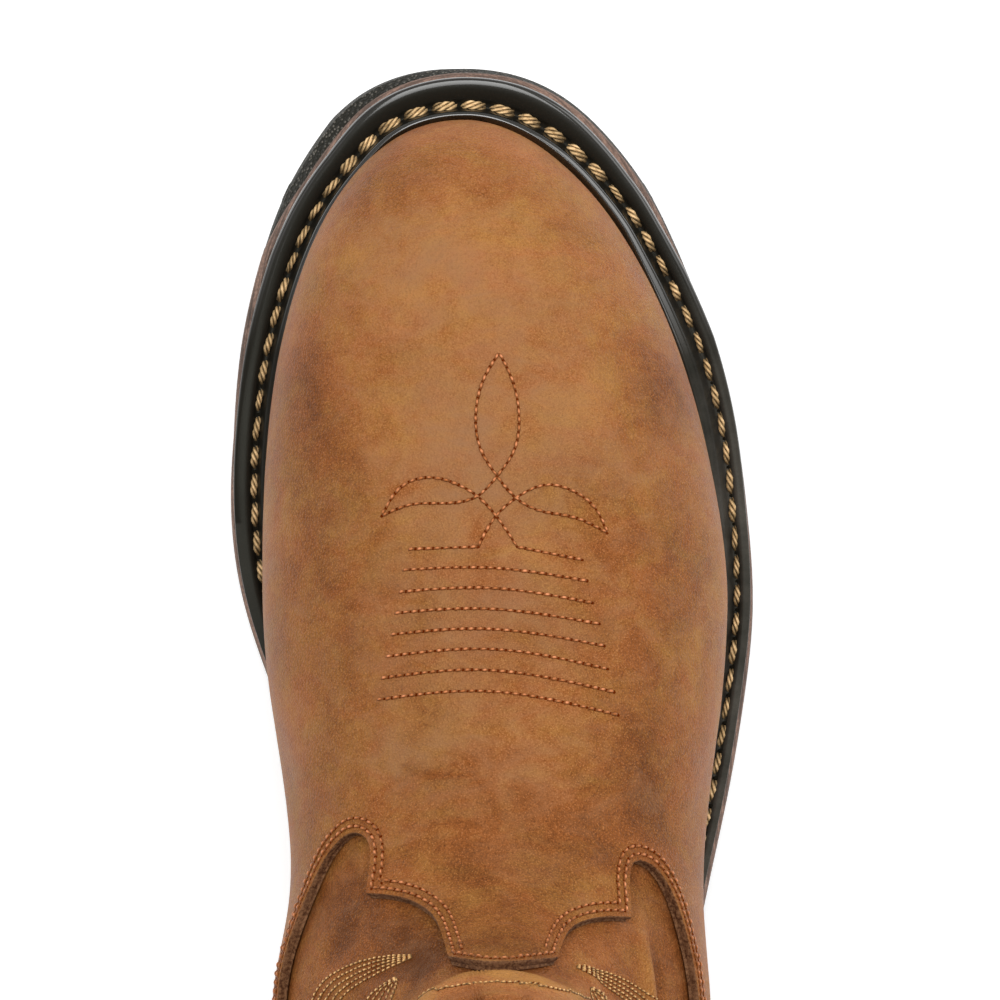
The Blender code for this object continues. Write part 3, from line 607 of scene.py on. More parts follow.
class Form:
    """Outer surface of the upper, by section row and share across (plus is medial, minus lateral)."""

    def __init__(self):
        rows = np.arange(len(SECTIONS), dtype=float)
        ahead = slice(LAP - 1, 0, -1)
        behind = slice(-2, -1 - LAP, -1)
        self.curves = {}
        for name in SECTION_COLUMNS:
            values = column(SECTIONS, SECTION_COLUMNS, name)
            mirrored = np.concatenate([values[ahead], values])
            self.curves[name] = natural_spline(np.concatenate([-rows[ahead], rows]), mirrored)
        seat_rows = rows[:HEEL_ROW + 1]
        seat = column(SECTIONS[:HEEL_ROW + 1], SECTION_COLUMNS, "base_station")
        knots = np.concatenate([-seat_rows[ahead], seat_rows, 2 * HEEL_ROW - seat_rows[behind]])
        self.seat_station = natural_spline(knots, np.concatenate([seat[ahead], seat, seat[behind]]))
        back = SECTIONS[HEEL_ROW:]
        heights = column(back, SECTION_COLUMNS, "base_height")
        heights[0] = seat_height(seat[-1]) + SKIRT
        self.back_station = natural_spline(rows[HEEL_ROW:], column(back, SECTION_COLUMNS, "base_station"))
        self.back_height = natural_spline(rows[HEEL_ROW:], heights)

    def base(self, row):
        """Base point of a section: on the seat along the foot, on the back line above the heel."""
        on_seat = row <= HEEL_ROW
        station = np.where(on_seat, self.seat_station(row), self.back_station(row))
        height = np.where(on_seat, seat_height(station) + SKIRT, self.back_height(row))
        return station, height

    @staticmethod
    def close(station, toe):
        """How far a width or height has opened out behind the toe tip, from 0 to 1."""
        start, square = toe
        tip = SECTIONS[0][0]
        ahead = np.clip((start - station) / (start - tip), 0.0, 1.0)
        return (1.0 - ahead ** square) ** (1.0 / square)

    def point(self, row, across):
        """Side, station and height of points on the surface."""
        row, across = np.broadcast_arrays(np.asarray(row, float), np.asarray(across, float))
        get = {name: curve(row) for name, curve in self.curves.items()}
        base_station, base_height = self.base(row)
        top_station = get["top_station"]
        tip_side = SECTIONS[0][2]
        medial = tip_side + (get["medial"] - tip_side) * self.close(top_station, TOE_MEDIAL)
        lateral = tip_side + (get["lateral"] - tip_side) * self.close(top_station, TOE_LATERAL)
        top_height = base_height + (get["top_height"] - base_height) * self.close(top_station, TOE_TOP)
        inner = across >= 0.0
        wide = np.where(inner, medial, lateral)
        crown = np.where(inner, get["crown_medial"], get["crown_lateral"])
        feet = [np.interp(base_station, run[:, 1], run[:, 0]) for run in SEAT_SIDES]
        foot = np.where(inner, np.minimum(feet[0], wide), np.maximum(feet[1], wide))
        foot = np.where(row < HEEL_ROW - TINY, foot, 0.0)
        share = np.abs(across)
        above = np.clip(1.0 - share / WIDEST_ACROSS, 0.0, 1.0) * math.pi / 2.0
        below = np.clip((share - WIDEST_ACROSS) / (1.0 - WIDEST_ACROSS), 0.0, 1.0) * math.pi / 2.0
        top_side = get["top_side"]
        up_side = top_side + (wide - top_side) * np.cos(above) ** (2.0 / crown)
        up = get["widest"] + (1.0 - get["widest"]) * np.sin(above) ** (2.0 / crown)
        low_side = foot + (wide - foot) * np.clip(np.cos(below), 0.0, 1.0) ** (2.0 / get["tuck"])
        low = get["widest"] * (1.0 - np.sin(below))
        upper_part = share <= WIDEST_ACROSS
        side = np.where(upper_part, up_side, low_side)
        rise = np.where(upper_part, up, low)
        station = base_station + (top_station - base_station) * rise
        height = base_height + (top_height - base_height) * rise
        return np.stack([side, station, height], axis=-1)

    def outward(self, row, across):
        """Directions out of the surface; level where the leather stands on its seat."""
        row, across = np.broadcast_arrays(np.asarray(row, float), np.asarray(across, float))
        behind_tip = np.maximum(row, 2.0 * SLOPE_STEP)
        ahead = self.point(np.minimum(behind_tip + SLOPE_STEP, COLLAR_ROW), across)
        along_row = ahead - self.point(behind_tip - SLOPE_STEP, across)
        medial = self.point(behind_tip, np.minimum(across + SLOPE_STEP, 1.0))
        along_side = medial - self.point(behind_tip, np.maximum(across - SLOPE_STEP, -1.0))
        normal = np.cross(along_side, along_row)
        standing = (np.abs(across) > 1.0 - TINY) & (row <= HEEL_ROW + TINY)
        level = np.stack([along_row[..., 1], -along_row[..., 0], np.zeros(row.shape)], axis=-1)
        level *= np.sign(across)[..., None]
        at_heel = (np.abs(row - HEEL_ROW) <= TINY)[..., None]
        level = np.where(at_heel, np.array([0.0, 1.0, 0.0]), level)
        normal = np.where(standing[..., None], level, normal)
        return normal / np.linalg.norm(normal, axis=-1, keepdims=True)

    def inside(self, row, across, depth):
        """Points at a depth under the surface."""
        return self.point(row, across) - self.outward(row, across) * np.asarray(depth)[..., None]


FORM = Form()


def place(points):
    """World coordinates in metres of points in the boot's own coordinates."""
    points = np.asarray(points, float)
    return (points - np.array([SOLE_MIDDLE[0], SOLE_MIDDLE[1], 0.0])) * MM


def boot_points(mesh):
    """The boot's own coordinates of a mesh's points, in millimetres."""
    points = np.zeros(len(mesh.vertices) * 3)
    mesh.vertices.foreach_get("co", points)
    return points.reshape(-1, 3) / MM + np.array([SOLE_MIDDLE[0], SOLE_MIDDLE[1], 0.0])


class Value:
    """A socket in a material's nodes; arithmetic on numbers adds Math nodes."""

    def __init__(self, paint, socket):
        self.paint = paint
        self.socket = socket

    def math(self, operation, first, second=0.0, clamp=False):
        settings = {"operation": operation, "use_clamp": clamp}
        return self.paint.read("ShaderNodeMath", settings, {0: first, 1: second})

    def __add__(self, other):
        return self.math("ADD", self, other)

    def __sub__(self, other):
        return self.math("SUBTRACT", self, other)

    def __rsub__(self, other):
        return self.math("SUBTRACT", other, self)

    def __mul__(self, other):
        return self.math("MULTIPLY", self, other)

    __radd__ = __add__
    __rmul__ = __mul__

    def clamped(self):
        """The number kept between 0 and 1."""
        return self.math("ADD", self, 0.0, True)

    def between(self, low, high):
        """A soft step from 0 at one value to 1 at another."""
        sockets = {"Value": self, "From Min": low, "From Max": high}
        return self.paint.read("ShaderNodeMapRange", {"interpolation_type": "SMOOTHSTEP"}, sockets)


class Paint:
    """One material: its nodes, and the finish that they feed."""

    def __init__(self, name):
        self.material = bpy.data.materials.new(name)
        self.material.use_nodes = True
        self.tree = self.material.node_tree
        self.shader = self.tree.nodes["Principled BSDF"]
        self.spot = self.read("ShaderNodeTexCoord", output="Object")

    def feed(self, socket, value):
        if isinstance(value, Value):
            self.tree.links.new(value.socket, socket)
        elif socket.type == "RGBA":
            socket.default_value = (*value, 1.0)
        else:
            socket.default_value = value

    def node(self, kind, settings=None, sockets=None):
        """A node with its settings made and its sockets fed with numbers, colours or other nodes."""
        made = self.tree.nodes.new(kind)
        for name, value in (settings or {}).items():
            setattr(made, name, value)
        for key, value in (sockets or {}).items():
            self.feed(made.inputs[key], value)
        return made

    def read(self, kind, settings=None, sockets=None, output=0):
        """One output of a new node."""
        return Value(self, self.node(kind, settings, sockets).outputs[output])

    def attribute(self, name):
        """A number stored on the mesh's points."""
        return self.read("ShaderNodeAttribute", {"attribute_name": name}, output="Fac")

    def stretch(self, scale):
        """The place on the piece, scaled by axis."""
        return self.read("ShaderNodeMapping", None, {"Vector": self.spot, "Scale": scale})

    def noise(self, scale, detail=2.0, roughness=0.5, distortion=0.0, at=None):
        """Cloudy noise from 0 to 1; scale is in waves to the metre."""
        sockets = {
            "Vector": at or self.spot, "Scale": scale, "Detail": detail,
            "Roughness": roughness, "Distortion": distortion,
        }
        return self.read("ShaderNodeTexNoise", None, sockets)

    def cloud(self, *settings):
        """Cloudy noise from -0.5 to 0.5."""
        return self.noise(*settings) - 0.5

    def cells(self, scale):
        """Distance from scattered points."""
        return self.read("ShaderNodeTexVoronoi", None, {"Vector": self.spot, "Scale": scale}, "Distance")

    def mix(self, first, second, share, blend="MIX"):
        """Two colours mixed."""
        settings = {"data_type": "RGBA", "blend_type": blend}
        return self.read("ShaderNodeMix", settings, {0: share, 6: first, 7: second}, 2)

    def bump(self, height, distance, strength=1.0):
        """Fine relief in metres, fed to the finish's normal."""
        sockets = {"Height": height, "Distance": distance, "Strength": strength}
        self.feed(self.shader.inputs["Normal"], self.read("ShaderNodeBump", None, sockets))

    def finish(self, **sockets):
        """Feeds the finish's own sockets, named with underscores for spaces."""
        for name, value in sockets.items():
            self.feed(self.shader.inputs[name.replace("_", " ")], value)
        return self.material


def dimmed(colour, share):
    """A colour times a number."""
    return tuple(share * c for c in colour)


def leather_finish(name, leather, level):
    """Waxed leather, mottled, with fine grain, painted glints on the grain and a soft shine; level is its
    tone,
    0 dark to 1 pale.
    """
    paint = Paint(name)
    clouds = paint.cloud(24.0, 3.0, 0.55, 0.5)
    blotch = paint.cloud(85.0, 3.0, 0.55, 0.9)
    streak = paint.cloud(75.0, 4.0, 0.60, 0.8, paint.stretch((0.8, 1.5, 1.2)))
    haze = paint.cloud(120.0, 5.0, 0.65, 0.9, paint.stretch((0.7, 1.4, 1.0)))
    rub = paint.cloud(260.0, 4.0, 0.65, 0.4)
    grain = paint.cloud(1300.0, 3.0, 0.75)
    fleck = paint.cloud(2900.0, 2.0, 0.75)
    pebble = 0.5 - paint.cells(1900.0)
    tone = paint.attribute("tone") + level + clouds * 0.60 + blotch * 0.70 + rub * 0.40
    # The pebble grain's domes are painted paler, a painted highlight on each grain, and the fine flecks are
    # partly specks of the leather, partly painted glitter of the grain
    tone = tone + pebble.between(0.10, 0.48) * 0.56 + grain * 0.60 + fleck * 1.20 - 0.02
    golder = 0.45 - paint.attribute("ruddy") + streak * 3.0 - clouds * 1.0 + blotch * 1.0 + rub * 1.2
    middle = paint.mix(leather.rust, leather.tan, golder.clamped())
    light = paint.mix(leather.pale, leather.gold, golder.clamped())
    colour = paint.mix(leather.umber, middle, (tone * 2.0).clamped())
    colour = paint.mix(colour, light, (tone * 2.0 - 1.0).clamped())
    dust = paint.attribute("dusty") * (0.8 + blotch * 2.5) + haze * 1.3
    colour = paint.mix(colour, leather.dusty, dust.clamped())
    paint.bump(pebble * 0.8 + grain * 0.8 + fleck * 0.6, leather.grain_depth, 0.9)
    rough = 0.48 + blotch * 0.3 + fleck * 0.2
    return paint.finish(
        Base_Color=colour, Roughness=rough, Specular_IOR_Level=0.15, Specular_Tint=(1.0, 0.62, 0.34)
    )


def cut_edge_finish(name, leather):
    """Raw edge of thick leather: dark, matt and fibrous."""
    paint = Paint(name)
    fibre = paint.noise(1500.0, 5.0, 0.75)
    soil = paint.noise(180.0, 3.0)
    colour = paint.mix(dimmed(leather.umber, 0.6), leather.cut, fibre.between(0.40, 0.62))
    colour = paint.mix(colour, leather.dusty, soil.between(0.48, 0.68) * 0.3)
    paint.bump(fibre, 0.0005, 0.9)
    return paint.finish(Base_Color=colour, Roughness=0.85, Specular_IOR_Level=0.2)


def flesh_finish(name, colour):
    """Flesh side of leather: pale, matt and brushed."""
    paint = Paint(name)
    nap = paint.noise(1400.0, 4.0, 0.7)
    wear = paint.noise(40.0, 4.0, 0.6)
    patchy = (nap * 0.5 + wear.between(0.4, 0.7) * 0.5).clamped()
    shown = paint.mix(colour, dimmed(colour, 0.6), patchy)
    paint.bump(nap, 0.0002, 0.5)
    return paint.finish(Base_Color=shown, Roughness=0.9, Specular_IOR_Level=0.15)


def rubber_finish(name, sole, stipple, gloss, shine=0.24):
    """Black rubber; stipple is the relief of its skin in metres, gloss how smooth it is, from 0 to 1."""
    paint = Paint(name)
    crumb = paint.cells(1200.0)
    smear = paint.noise(60.0, 4.0, 0.6)
    fine = paint.noise(2200.0, 3.0, 0.7)
    matt = max(1.0 - gloss * 1.15, 0.0)
    patchy = (0.5 - crumb).between(0.08, 0.34) * smear.between(0.26, 0.54) * matt
    chalk = paint.attribute("dusty") * smear.between(0.30, 0.62) * (0.10 + fine * 0.16)
    colour = paint.mix(sole.rubber, sole.dust, (patchy * 0.5 + fine * 0.03 + chalk).clamped())
    paint.bump((1.0 - crumb) * matt + fine * 0.35, stipple, 0.9)
    rough = 0.34 + matt * 0.26 + (smear - 0.5) * 0.25
    return paint.finish(
        Base_Color=colour, Roughness=rough, Specular_IOR_Level=shine, Specular_Tint=(0.98, 1.0, 0.86),
        Coat_Weight=paint.attribute("coat"), Coat_Roughness=0.10, Coat_IOR=1.9,
    )


def midsole_finish(name, sole):
    """Brown layer with faint grain along it, smudged with black in patches."""
    paint = Paint(name)
    layer = paint.noise(260.0, 3.0, 0.6, 0.0, paint.stretch((0.25, 0.25, 6.0)))
    grit = paint.noise(1300.0, 4.0, 0.7)
    smudge = paint.noise(70.0, 4.0, 0.6)
    rubbed = layer.between(0.44, 0.58) * 0.9 + grit.between(0.4, 0.6) * 0.6
    colour = paint.mix(sole.midsole, dimmed(sole.midsole, 0.35), rubbed.clamped())
    colour = paint.mix(colour, sole.rubber, smudge.between(0.50, 0.70) * 0.5)
    paint.bump(layer * 0.6 + grit, 0.00025, 0.7)
    return paint.finish(Base_Color=colour, Roughness=0.72, Specular_IOR_Level=0.3)


def thread_finish(name, colour, dive, shine):
    """Sewing thread: fine fibres, with a painted highlight on the crest of a stitch and painted shade, darker
    by a factor, where it dives.
    """
    paint = Paint(name)
    fibre = paint.cloud(2600.0, 3.0, 0.7)
    # This noise varies the painted highlight and shade of the thread from stitch to stitch
    patchy = paint.cloud(420.0, 2.0)
    crest = paint.attribute("crest")
    # Painted highlight: a paler colour, glinting where the crest share is near full; painted shade: the
    # colour darkened by the dive factor
    paler = tuple(min(1.35 * c + 0.09, 1.0) for c in colour)
    top = crest * crest * crest
    lit = top + fibre * 0.7 + patchy * 0.5
    glint = top * top * (0.70 + patchy * 4.0 + fibre * 1.5)
    shown = paint.mix(dimmed(colour, dive), colour, lit.clamped())
    shown = paint.mix(shown, paler, glint.clamped())
    paint.bump(fibre, 0.0002, 0.7)
    return paint.finish(
        Base_Color=shown, Roughness=0.38, Specular_IOR_Level=shine, Specular_Tint=(1.0, 0.85, 0.62)
    )


def hole_finish(name, colour):
    """Shadowed inside of a needle hole."""
    paint = Paint(name)
    # Mottling of the hole's painted shade
    shade_mottle = paint.noise(2000.0, 2.0)
    shown = paint.mix(colour, dimmed(colour, 1.8), shade_mottle)
    return paint.finish(Base_Color=shown, Roughness=1.0, Specular_IOR_Level=0.0)


# Digits of a millimetre to which points that are joined agree, and the angle past which an edge stays sharp
MERGE_DIGITS = 3
SHARP_ANGLE = 50.0


def add_piece(name, points, faces, materials, face_materials=None, layers=None):
    """A named piece from points in the boot's own coordinates; points that lie together are joined."""
    keys = np.round(np.asarray(points, float), MERGE_DIGITS) + 0.0
    merged = np.unique(keys, axis=0, return_index=True, return_inverse=True)
    first, number = merged[1], merged[2].ravel()
    kept = []
    slots = []
    for k, face in enumerate(faces):
        corners = list(dict.fromkeys(int(number[i]) for i in face))
        if len(corners) > 2:
            kept.append(corners)
            slots.append(face_materials[k] if face_materials is not None else 0)
    mesh = bpy.data.meshes.new(name)
    mesh.from_pydata([tuple(p) for p in place(np.asarray(points)[first])], [], kept)
    for material in materials:
        mesh.materials.append(material)
    mesh.polygons.foreach_set("material_index", slots)
    mesh.shade_smooth()
    mesh.set_sharp_from_angle(angle=math.radians(SHARP_ANGLE))
    for label, values in (layers or {}).items():
        store(mesh, label, np.asarray(values)[first])
    mesh.update()
    piece = bpy.data.objects.new(name, mesh)
    bpy.context.scene.collection.objects.link(piece)
    return piece


def settle(piece, slot, *nodes):
    """Hangs a finished piece on the body that it rides on and hides the solids that it stands for; its slot
    is not used.
    """
    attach(piece, BODY)
    if nodes:
        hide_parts(*nodes)


def store(mesh, name, values):
    """A number kept on each point of a mesh."""
    layer = mesh.attributes.new(name, "FLOAT", "POINT")
    layer.data.foreach_set("value", np.asarray(values, np.float32))


# Upper

# Points along each stretch of the top edge, and how much the way across counts where columns are spaced
TOPLINE_POINTS = 400
ACROSS_WEIGHT = 0.8


def topline_runs(side):
    """Smooth stretches of the top edge between its corners on one side, as share across and row."""
    across = column(TOPLINE, TOPLINE_COLUMNS, side + "_across")
    row = column(TOPLINE, TOPLINE_COLUMNS, side + "_row")
    ends = (0, *TOPLINE_CORNERS, len(across) - 1)
    runs = []
    for a, b in zip(ends, ends[1:]):
        points = np.stack([across[a:b + 1], row[a:b + 1]], axis=1)
        if a == 0:
            share = np.linspace(0.0, 1.0, TOPLINE_POINTS)[:, None]
            fine = points[0] + (points[1] - points[0]) * np.hstack([share, share ** 2])
        else:
            fine = smooth_run(points, TOPLINE_POINTS, FORM_SCALE)
            fine[:, 0] = np.maximum.accumulate(fine[:, 0])
        runs.append(fine)
    return runs


def topline_columns(step):
    """Share across and top row of the mesh columns, from the medial back over the tongue to the lateral."""
    sides = []
    for side, sign in (("medial", 1.0), ("lateral", -1.0)):
        points = [np.zeros((0, 2))]
        for run in topline_runs(side):
            length = run_lengths(FORM.point(run[:, 1], run[:, 0] * sign))
            measure = length + (run[:, 0] - run[0, 0]) * ACROSS_LENGTH * ACROSS_WEIGHT
            count = max(int(math.ceil(measure[-1] / step)), 2)
            at = np.linspace(0.0, measure[-1], count + 1)
            read = read_straight(measure, run, at)
            points.append(read[1:] if len(points) > 1 else read)
        sides.append(np.vstack(points) * (sign, 1.0))
    columns = np.vstack([sides[0][::-1], sides[1][1:]])
    return columns[:, 0], columns[:, 1]


# Rows and columns of the upper's meshes, and the section rows at which their spacing changes
COLUMN_STEP = 2.9
TOE_ROWS_COUNT = 40
FOOT_ROWS_COUNT = 46
ANKLE_ROWS_COUNT = 44
HEEL_ROWS_COUNT = 16
SHAFT_ROWS_COUNT = 120
SHAFT_COLUMNS_COUNT = 261
SHAFT_TUCK = 0.25
FOOT_TOP_ROW = 5.0
TOE_END_ROW = 2.0
TOE_CROWDING = 1.5
VAMP_BACK_ROW = TOPLINE[-1][1]

# Where the relief fades out: on the vamp a share across above its seat, on the shaft section rows by the vamp
RELIEF_FADE = 0.2
TUCK_FADE = 0.35

# Points along a crease, how near its ends it fades, and how softly
CREASE_POINTS = 60
CREASE_END = 0.03
CREASE_FADE = 0.6

# Tones of the leather: the level of each piece; what a band along the welt adds behind the toe, paler, golder
# and dustier, partly dusty leather and partly a painted grazing reflection; and how much the shaft's folds
# add, a painted highlight on their ridges and painted shade in their troughs, with the least and the most
# that they do
VAMP_LEVEL = 0.55
SHAFT_LEVEL = 0.36
WELT_EDGE_REACH = 10.0
WELT_EDGE_STATIONS = (28.0, 58.0)
WELT_EDGE_SHEEN = 0.16
WELT_EDGE_GOLD = -0.4
WELT_EDGE_DUST = 0.2
FOLD_LIGHT_AND_SHADE = (0.34, -0.25, 0.75)
FOLD_HIGHLIGHT_GOLD = (0.45, -0.2, 0.80)
SHAFT_RUDDY = 0.30

# The shaft's outer face lies under the form; a bead runs along each side seam, and a band round the collar
SHAFT_DEPTH = LEATHER + SHAFT_GAP
BEAD_HEIGHT = 0.9
BEAD_WIDTH = 1.3
COLLAR_BAND = 9.0
COLLAR_RISE = 0.6
COLLAR_EDGE = 0.5

# Smoothing of the shaft's lower edge: steps across, how many of them the lowest row and the mean are taken
# over, and how far out the mean's bell curve reaches
START_STEPS = 801
START_LOWEST = 49
START_MEAN = 41
START_BELL = 2.5

# Section of a cut leather edge: how far back from the edge, and how deep under the surface
CUT_EDGE = ((0.40, 0.0), (0.15, 0.05), (0.03, 0.18), (0.0, 0.45), (0.05, 0.90), (0.35, 1.55))


def upper_grid():
    """Shares across and section rows of the vamp's mesh."""
    across, top = topline_columns(COLUMN_STEP)
    toe = TOE_END_ROW * np.linspace(0.0, 1.0, TOE_ROWS_COUNT) ** TOE_CROWDING
    foot = np.concatenate([toe, np.linspace(TOE_END_ROW, FOOT_TOP_ROW, FOOT_ROWS_COUNT)[1:]])
    ankle = np.linspace(FOOT_TOP_ROW, HEEL_ROW, ANKLE_ROWS_COUNT)[1:]
    back = np.concatenate([ankle, np.linspace(HEEL_ROW, VAMP_BACK_ROW, HEEL_ROWS_COUNT)[1:]])
    share = (back - FOOT_TOP_ROW) / (VAMP_BACK_ROW - FOOT_TOP_ROW)
    rise = FOOT_TOP_ROW + (top[None] - FOOT_TOP_ROW) * share[:, None]
    rows = np.vstack([np.repeat(foot[:, None], len(across), axis=1), rise])
    return np.broadcast_to(across, rows.shape), rows


def lumps(points, wave, seed):
    """Soft random swelling from -1 to 1 with a wavelength in millimetres."""
    draw = np.random.default_rng(seed)
    ways = draw.normal(size=(SWELL_WAVES, 3))
    ways /= np.linalg.norm(ways, axis=1, keepdims=True)
    phase = draw.uniform(0.0, 2.0 * math.pi, SWELL_WAVES)
    stretch = draw.uniform(*SWELL_STRETCH, SWELL_WAVES)
    waves = ways * (stretch * 2.0 * math.pi / wave)[:, None]
    return np.sin(points @ waves.T + phase).sum(axis=-1) / SWELL_WAVES


def crease_relief(points, creases, depth):
    """Height of the listed ridges and troughs at points near the surface."""
    relief = np.zeros(points.shape[:-1])
    for height, width, line in creases:
        run = smooth_run(line, CREASE_POINTS, FORM_SCALE)
        ridge = FORM.inside(run[:, 1], run[:, 0], np.full(len(run), depth))
        near = np.linalg.norm(points[..., None, :] - ridge, axis=-1)
        where = np.argmin(near, axis=-1)
        distance = np.take_along_axis(near, where[..., None], axis=-1)[..., 0]
        share = np.clip(where / (len(run) - 1.0), CREASE_END, 1.0 - CREASE_END)
        fade = np.sin(share * math.pi) ** CREASE_FADE
        relief += height * fade * np.exp(-(distance / width) ** 2)
    return relief


def leather_relief(points, creases, depth):
    """Relief of leather over its form: soft swelling and creases."""
    swell = sum(height * lumps(points, wave, seed) for height, wave, seed in SWELLS)
    return swell + crease_relief(points, creases, depth)


def leather_wall(name, outer, inner, skirt_rows, rim_rows, materials):
    """A closed wall between an outer grid, whose last rows turn over its cut edge, and an inner grid.

    Its first and last columns are a skirt over the rows given; without one, the grids' first rows are joined.
    """
    rows, columns = outer.shape[:2]
    inner_rows = inner.shape[0]
    start = rows * columns
    skirts = (0, columns - 2) if skirt_rows else ()
    faces = []
    slots = []

    def quad(a, b, c, d, slot):
        faces.append((a, b, c, d))
        slots.append(slot)

    for i in range(rows - 1):
        for j in range(columns - 1):
            if j in skirts and i >= skirt_rows:
                continue
            a = i * columns + j
            quad(a, a + columns, a + columns + 1, a + 1, 1 if i >= rows - rim_rows else 0)
    for i in range(inner_rows - 1):
        for j in range(columns - 1):
            if j in skirts and i >= skirt_rows:
                continue
            a = start + i * columns + j
            quad(a, a + 1, a + columns + 1, a + columns, 2)
    for j in range(columns - 1):
        if not skirts:
            quad(j, j + 1, start + j + 1, start + j, 2)
        if j in skirts:
            continue
        a = (rows - 1) * columns + j
        b = start + (inner_rows - 1) * columns + j
        quad(a, b, b + 1, a + 1, 1)
    for i in range(skirt_rows):
        a, b = i * columns, start + i * columns
        quad(a, b, b + columns, a + columns, 2)
        a, b = a + columns - 1, b + columns - 1
        quad(a, a + columns, b + columns, b, 2)
    points = np.vstack([outer.reshape(-1, 3), inner.reshape(-1, 3)])
    return add_piece(name, points, faces, materials, slots)


def back_joined(grid, first):
    """A grid with its two back edges brought together from a row upwards."""
    joined = grid.copy()
    joined[first:, (0, -1)] = grid[first:, (0, -1)].mean(axis=1, keepdims=True)
    return joined


def skirted(grid, on_seat):
    """A vamp grid closed at the toe and the back, with a column on each side straight down to the seat."""
    grid = back_joined(grid, on_seat - 1)
    grid[0] = grid[0].mean(axis=0)
    skirt = grid[:, (0, -1)].copy()
    skirt[:on_seat, :, 2] -= SKIRT
    return np.concatenate([skirt[:, :1], grid, skirt[:, 1:]], axis=1)


def turned_edge(across, row, base_depth, relief):
    """Rows of points over a cut edge at the end of a grid."""
    outward = FORM.outward(row, across)
    rise = FORM.point(row, across) - FORM.point(row - SLOPE_STEP, across)
    edge = FORM.point(row, across) + outward * (relief - base_depth)[..., None]
    into = np.cross(np.gradient(edge, axis=0), outward)
    into *= -np.sign(np.sum(into * rise)) / np.linalg.norm(into, axis=-1, keepdims=True)
    return np.stack([edge + into * back - outward * deep for back, deep in CUT_EDGE])


def patches(table, points):
    """Sum of soft patches placed in plan."""
    total = np.zeros(len(points))
    for side, station, reach_side, reach_station, amount in table:
        far = ((points[:, 0] - side) / reach_side) ** 2 + ((points[:, 1] - station) / reach_station) ** 2
        total += amount * np.exp(-far)
    return total


def make_vamp(scene):
    """Hollow vamp with its cut top edge."""
    leather = scene.boot_leather
    across, rows = upper_grid()
    on_seat = int(np.count_nonzero(rows[:, 0] <= HEEL_ROW + TINY))
    surface = FORM.point(rows, across)
    relief = leather_relief(surface, VAMP_CREASES, 0.0)
    relief *= np.clip((1.0 - np.abs(across)) / RELIEF_FADE, 0.0, 1.0)
    outer = FORM.inside(rows, across, -relief)
    rim = turned_edge(across[-1], rows[-1], 0.0, relief[-1])
    inner = FORM.inside(rows, across, np.full(rows.shape, LEATHER))
    materials = [
        leather_finish("vamp leather", leather, VAMP_LEVEL),
        cut_edge_finish("cut leather", leather),
        flesh_finish("vamp flesh side", leather.lining),
    ]
    grid = skirted(np.concatenate([outer[:-1], rim]), on_seat)
    lining = skirted(inner, on_seat)
    piece = leather_wall("upper_vamp", grid, lining, on_seat - 1, len(CUT_EDGE) - 1, materials)
    points = boot_points(piece.data)
    seat = seat_height(points[:, 1])
    # Paler, golder and dustier along the welt: partly dusty leather, partly a painted grazing reflection on
    # the leather's edge
    by_welt = np.exp(-np.clip(points[:, 2] - seat - SKIRT, 0.0, None) / WELT_EDGE_REACH)
    welt_edge_sheen_and_dust = by_welt * share_between(points[:, 1], *WELT_EDGE_STATIONS)
    store(piece.data, "tone", patches(TONE_PATCHES, points) + WELT_EDGE_SHEEN * welt_edge_sheen_and_dust)
    store(piece.data, "ruddy", patches(RUDDY_PATCHES, points) + WELT_EDGE_GOLD * by_welt)
    store(piece.data, "dusty", patches(DUSTY_PATCHES, points) + WELT_EDGE_DUST * welt_edge_sheen_and_dust)
    settle(piece, "vamp_leather", "vamp")


def seam_steer(rows):
    """Share across by which a side seam runs farther back on section rows under the heel's."""
    return SEAM_STEER * np.clip(HEEL_ROW - np.asarray(rows, float), 0.0, None)


def shaft_relief(rows, across):
    """Relief of the shaft's outer face: folds, the beads of its side seams and the collar's band."""
    surface = FORM.inside(rows, across, np.full(rows.shape, SHAFT_DEPTH))
    relief = leather_relief(surface, SHAFT_CREASES, SHAFT_DEPTH)
    seam = np.abs(np.abs(across) - SIDE_SEAM_ACROSS - seam_steer(rows)) * ACROSS_LENGTH
    relief += BEAD_HEIGHT * np.exp(-(seam / BEAD_WIDTH) ** 4)
    collar = surface[..., 2] - (BACK_HEIGHT - COLLAR_BAND)
    relief += COLLAR_RISE / (1.0 + np.exp(-collar / COLLAR_EDGE))
    return relief


def shaft_start(across):
    """Section rows where the shaft begins, tucked under the vamp, and where it comes out from under it."""
    share = np.linspace(-1.0, 1.0, START_STEPS)
    columns, top = topline_columns(COLUMN_STEP)
    line = np.interp(share, columns[::-1], top[::-1])
    padded = np.pad(line, START_LOWEST // 2, mode="edge")
    lowest = np.lib.stride_tricks.sliding_window_view(padded, START_LOWEST).min(axis=1)
    weights = np.exp(-np.linspace(-START_BELL, START_BELL, START_MEAN) ** 2)
    padded = np.pad(lowest, START_MEAN // 2, mode="edge")
    smooth = np.convolve(padded, weights / weights.sum(), mode="valid")
    return np.interp(across, share, smooth) - SHAFT_TUCK, np.interp(across, share, line)


